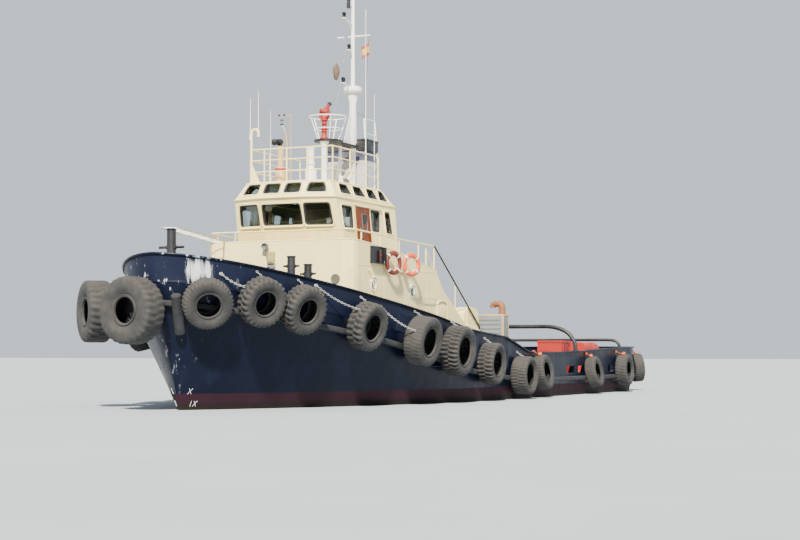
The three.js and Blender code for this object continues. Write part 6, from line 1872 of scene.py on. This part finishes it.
PORTHOLES = ((4.87, 3.49), (7.71, 3.62))  # x and z in the house's side
port_rings, port_panes = [], []
for x, z in PORTHOLES:
    rim, pane = porthole((x, HOUSE_SIDE, z), (0, 1, 0), 0.165)
    port_rings += [both(s) for s in rim]
    port_panes.append(both(pane))
piece("porthole_rims", WHITE, *port_rings)
piece("porthole_glass", GLASS, *port_panes)
blank = [(0, -0.01), (0.15, -0.01), (0.15, 0.018), (0.142, 0.026), (0.125, 0.026), (0.118, 0.02), (0, 0.02)]
piece("blanked_ports", WEATHERED, both(turned(blank, (HOUSE_FRONT, 1.97, 3.76), (1, 0, 0), 36)))


HOUSE_SEAMS_X = (3.7, 5.4, 6.95, 8.4)


def house_trim():
    """Fittings on the deckhouse sides: the arched hatch with its rim, a hand bar, the coaming's
    rolled edge, the seams of the plating and a sloping bracket rail."""
    y = HOUSE_SIDE
    a = np.linspace(0, math.pi, 13)
    arch = np.stack([2.49 + 0.42 * np.cos(a), 0 * a + 2.55, 3.12 + 0.16 * np.sin(a)], -1)
    hatch = np.vstack([[(2.91, 2.55, 2.5)], arch, [(2.07, 2.55, 2.5)]])
    bar = [(3.1, y, 3.35), (3.1, 2.62, 3.35), (4.2, 2.62, 3.35), (4.2, y, 3.35)]
    seam = [(2.95, y + 0.002, HOUSE_TOP), (8.8, y + 0.002, HOUSE_TOP)]
    pieces = [
        both(tube(hatch, 0.018, 8)),
        both(slab((2.49, y, 2.82), (0, 0, 1), (1, 0, 0), (0.6, 0.78), 0.02, 0.1, 0.006)),
        both(bent_bar(bar, 0.016, 0.04, sides=8)),
        sweep(along_coaming(np.linspace(2.93, 9.1, 16)[:-1], COAMING), rounded_rectangle(0.075, 0.04, 0.018)),
        both(sweep(seam, rounded_rectangle(0.008, 0.05, 0.003, 3))),
    ]
    for x in HOUSE_SEAMS_X:
        upright = [(x, y + 0.001, float(deck_z(x)) + 0.02), (x, y + 0.001, HOUSE_TOP - 0.02)]
        pieces.append(both(sweep(upright, rounded_rectangle(0.02, 0.006, 0.002, 3), up=(0, 1, 0))))
    bracket = [(8.07, y, 4.1), (8.05, 2.6, 4.05), (7.6, 2.6, 3.2), (7.58, y, 3.16)]
    bracket = rounded(bracket, 0.04, 4, closed=False)
    pieces.append(both(sweep(bracket, rounded_rectangle(0.05, 0.03, 0.01, 3), up=(0, 1, 0))))
    return pieces


piece("house_trim", CREAM, *house_trim())
# The floodlight on the house's front: its reflector, bent stem, foot and shelf, and the box by it
reflector = [(0, -0.06), (0.07, -0.06), (0.1, 0.0), (0.1, 0.1), (0.085, 0.1), (0.07, 0.06), (0, 0.05)]
front_lamp = [
    turned(reflector, (9.27, -0.36, 4.8), (0.9, 0.1, -0.2), 24),
    tube([(9.27, -0.36, 4.74), (9.24, -0.33, 4.5), (9.2, -0.3, 4.19)], 0.022, 12),
    foot_pad((9.2, -0.3, 4.16), 0.07),
    block(HOUSE_FRONT + 0.01, 9.22, -0.3, -0.06, 4.12, 4.24, 0.02, 0.008),
]
lamp_box = [
    block(HOUSE_FRONT, 9.27, -0.3, -0.08, 4.26, 4.62, 0.03, 0.012),
    block(9.27, 9.29, -0.28, -0.1, 4.3, 4.46, 0.02, 0.006),
]
piece("lamp_box", FADED, *lamp_box)
piece("front_lamp", GREY, *front_lamp)


DOOR_OUT = 0.046  # how far the door's face stands outside the wall's
HANDLE_X = 7.28
LEAN = (WHEELHOUSE[1, 4] - WHEELHOUSE[0, 4]) / (WHEELHOUSE[1, 0] - WHEELHOUSE[0, 0])
DOOR_NORMAL = unit(np.array([0, 1, -LEAN]))


def on_door(x, z, out=0.0):
    """A point of the port door's leaning face, moved out to port."""
    return side_point(x, z) + (0, DOOR_OUT + out, 0)


def door_border(x0, x1, z0, z1, corner, steps, proud, section):
    """A flat bar round a rectangle on the port door's face."""
    loop = rounded([on_door(x0, z0), on_door(x1, z0), on_door(x1, z1), on_door(x0, z1)], corner, steps)
    return sweep(loop + DOOR_NORMAL * proud, rounded_rectangle(*section, 3), up=DOOR_NORMAL, closed=True)


def door_trim():
    """The port wheelhouse door's frame rail, its pull handle with the pane's border, and its small
    pane."""
    rail = door_border(6.58, 7.4, 4.32, 6.05, 0.05, 4, 0.002, (0.05, 0.01, 0.003))
    pull = [on_door(HANDLE_X, z, out) for z, out in ((5.1, 0), (5.1, 0.045), (5.36, 0.045), (5.36, 0))]
    backplate = slab(on_door(HANDLE_X, 5.23), (0, 0, 1), (1, 0, 0), (0.4, 0.06), 0.006, 0.02, 0.002)
    border = door_border(6.78, 7.1, 5.35, 5.85, 0.04, 5, 0.003, (0.03, 0.012, 0.004))
    pane = slab(on_door(6.94, 5.6), (0, 0, 1), (1, 0, 0), (0.5, 0.32), 0.005, 0.04, 0.001)
    return rail, joined(bent_bar(pull, 0.011, 0.02), backplate, border), pane


door_rail, door_handle, door_pane = door_trim()
for side, put in SIDES:
    body = "wheelhouse_door_" + side
    piece("door_rails_" + side, TEAK, put(door_rail), body=body)
    piece("door_handle_" + side, STEEL, put(door_handle), body=body)
    piece("door_pane_" + side, SEAL, put(door_pane), body=body, slot="window_glass")

# Rigging: stays, halyards, the flag and the day shape


def wire(*points, r=0.006):
    return tube(np.array(points, float), r, 6)


stays = [
    wire((MAST_X, -0.5, 12.05), (5.5, -0.42, 8.44)),
    wire((MAST_X, -0.18, 12.06), (5.2, -0.28, 8.44)),
    wire((MAST_X, 0.6, 12.05), (3.85, 0.31, 9.35)),
    wire((MAST_X - 0.05, 0, 9.6), (3.4, 0.31, 9.36), r=0.008),
]
piece("stays_and_halyards", WIRE, *stays)

FLAG_SIZE = (0.6, 0.42)  # fly, hoist
FLAG_TOP = np.array([MAST_X, 0.6, 11.83])


def flag():
    """A small flag flying aft: it leaves the halyard, falls a little with the square of the way
    along it and ripples as sin(9 t) across its run."""
    t = np.linspace(0, 1, 41)
    v = np.linspace(0, 1, 17)
    along = unit(np.array([-0.62, -0.78, 0]))
    across = np.array([-along[1], along[0], 0])
    tt, vv = np.meshgrid(t, v, indexing="ij")
    ripple = 0.028 * np.sin(9 * tt + 1.4 * vv) * tt
    points = (
        FLAG_TOP
        + (tt * FLAG_SIZE[0] * 0.965)[..., None] * along
        + ripple[..., None] * across
        - (vv * FLAG_SIZE[1] + 0.06 * tt**2)[..., None] * np.array([0, 0, 1.0])
    )
    return points


def bunting():
    """Woven polyester bunting, red, yellow and red, with a 1 mm weave drawn 8 mm coarse and paler
    worn patches. Its stripes follow the cloth's own map."""
    material, tree, place, _ = start("flag_bunting")
    uv = add(tree, "UVMap", uv_map="cloth")
    down = split_of(tree, uv)["Y"]
    low = add(tree, "MapRange", down, 0.245, 0.255, **SMOOTHLY)
    high = add(tree, "MapRange", down, 0.745, 0.755, 1.0, 0.0, **SMOOTHLY)
    middle = add(tree, "Math", low, high, operation="MULTIPLY")
    weave = add(tree, "TexWave", Vector=place, Scale=60.0, Distortion=0.5)
    worn = cloud(tree, place, 9.0, 0.35, 0.8, 0.4)
    color = layers(tree, "#c23b33", (middle, "#e3c03f"), (worn, "#d9a58c"))
    shade(tree, color, 0.9, weave, 0.001, 0.3)
    return material


def cloth(name, points, material):
    """A sheet of cloth 1 mm thick, with a map of its own from corner to corner."""
    mesh = mesh_of(name, grid(points))
    layer = mesh.uv_layers.new(name="cloth")
    m, n = points.shape[:2]
    loops = np.zeros(len(mesh.loops), int)
    mesh.loops.foreach_get("vertex_index", loops)
    u, v = np.divmod(loops, n)
    layer.data.foreach_set("uv", np.stack([u / (m - 1), v / (n - 1)], -1).ravel())
    mesh.polygons.foreach_set("use_smooth", np.ones(len(mesh.polygons), bool))
    mesh.materials.append(material)
    thing = placed(name, mesh)
    wall = thing.modifiers.new("thickness", "SOLIDIFY")
    wall.thickness = 0.001
    wall.offset = 0
    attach(thing, "hull")
    return thing


flag_piece = cloth("flag", flag(), bunting())


def day_shape():
    """A dark basket-shaped day mark on its halyard: two cones base to base with a waist hoop."""
    profile = [(0, 10.62), (0.05, 10.64), (0.1, 10.78), (0.12, 10.86), (0.12, 10.98), (0.1, 11.06)]
    return turned(profile + [(0.03, 11.19), (0, 11.2)], (4.3, -0.5, 0), sides=20)


piece("day_shape", DAY_SHAPE, day_shape())

# Inside the wheelhouse

piece(
    "chart_screens",
    SEAL,
    slab((7.45, -0.75, 5.37), (0, 1, 0), (-0.35, 0, 1), (0.5, 0.34), 0.04, 0.02),
    slab((7.45, 0.8, 5.37), (0, 1, 0), (-0.35, 0, 1), (0.42, 0.3), 0.04, 0.02),
)
backs = [slab((6.2, y, 5.42), (0, 1, 0), (-0.1, 0, 1), (0.42, 0.62), 0.09, 0.12, 0.03) for y in (-0.62, 0.62)]
piece("seat_shells", VINYL, *backs)
piece("instrument_box", WHITE, block(7.3, 7.6, -1.55, -1.1, 5.36, 5.62, 0.06, 0.03))

# The sloping rails over the fashion plates, in a black cover, on cream posts
SLOPING_RAIL = [(-0.94, 2.43), (3.05, 5.06)]
FASHION_LINE = [(-0.9, 2.38), (0.37, 2.52), (2.36, 3.65), (2.95, 4.29)]


def sloping_rail():
    """A straight round bar with its foot turned down onto the plate, and its posts."""
    y = HOUSE_SIDE
    bar = bent_bar([(3.09, y, 5.08), (-0.86, y, 2.485), (-0.9, y - 0.02, 2.36)], 0.027, 0.06, 5, 14)
    posts = []
    for x in (1.26, 0.2):
        foot, head = line(FASHION_LINE, x) - 0.02, line(SLOPING_RAIL, x)
        posts.append(tube([(x, RAIL_Y, foot), (x, RAIL_Y, head)], 0.02, 10))
    return bar, posts


bar, posts = sloping_rail()
piece("sloping_rails", PLASTIC, both(bar))
piece("sloping_rail_posts", CREAM, *(both(p) for p in posts))

# Materials of the CAD nodes that stay in view
paint_node(BOTTOM, "skeg", "nozzle", "rudder")
paint_node(BRONZE, "propeller")
paint_node(CREAM, "deckhouse", "engine_casing", "casing_door", "stair_port", "stair_starboard")
paint_node(CREAM, "wheelhouse_walls", "wheelhouse_roof")
paint_node(GLASS, "glazing_lower", "glazing_sky")
paint_node(TEAK, "wheelhouse_door_port", "wheelhouse_door_starboard")
paint_node(GREY, "helm", "windlass")
paint_node(BLACK, "windlass_drum", "tow_post", "tow_hook")
paint_node(RED, "locker", "locker_lid")


# Floor, light and camera


def pale_floor():
    """Matt plaster, a pale bluish grey, with a faint cloudiness 3 m across."""
    material, tree, place, _ = start("pale_floor")
    soft = cloud(tree, place, 0.3, 0.3, 0.8)
    shade(tree, layers(tree, "#a9b2b8", (soft, "#a2acb3")), 0.9)
    return material


FLOOR_HALF = 400.0
edge = np.linspace(-FLOOR_HALF, FLOOR_HALF, 9)
floor_x, floor_y = np.meshgrid(edge, edge, indexing="ij")
floor_mesh = mesh_of("floor", grid(np.stack([floor_x, floor_y, 0 * floor_x], -1)))
floor_mesh.materials.append(pale_floor())
floor = placed("floor", floor_mesh)

world = bpy.data.worlds.new("studio")
world.use_nodes = True
world.node_tree.nodes["Background"].inputs["Color"].default_value = linear("#dfe9f2")
world.node_tree.nodes["Background"].inputs["Strength"].default_value = 1.05
bpy.context.scene.world = world

TO_SUN = (0.68, 0.26, 0.66)
LAMP_DISTANCE = 60


def lamp(name, kind, towards, strength, **more):
    """A light that shines from the direction towards, far off."""
    data = bpy.data.lights.new(name, kind)
    data.energy = strength
    for key, value in more.items():
        setattr(data, key, value)
    thing = placed(name, data)
    thing.location = Vector(towards).normalized() * LAMP_DISTANCE
    thing.rotation_euler = Vector(towards).to_track_quat("Z", "Y").to_euler()


lamp("key_light", "SUN", TO_SUN, 13.0, angle=math.radians(4), color=linear("#fff6e6")[:3])
lamp("fill_light", "SUN", (-0.2, 0.9, 0.5), 0.2, angle=math.radians(30), color=linear("#e6f0ff")[:3])

CAMERA_AT = (52.899, 24.3, 1.542)
HEADING = math.radians(24.8)  # how far the camera stands to port of dead ahead
PITCH = math.radians(2.894)  # how far it looks up
view = bpy.data.cameras.new("camera")
view.lens = 74.25
view.sensor_width = 36.0
view.clip_end = 2000.0
camera = placed("camera", view)
camera.location = CAMERA_AT
look = Vector((-math.cos(HEADING) * math.cos(PITCH), -math.sin(HEADING) * math.cos(PITCH), math.sin(PITCH)))
camera.rotation_euler = look.to_track_quat("-Z", "Y").to_euler()
bpy.context.scene.camera = camera
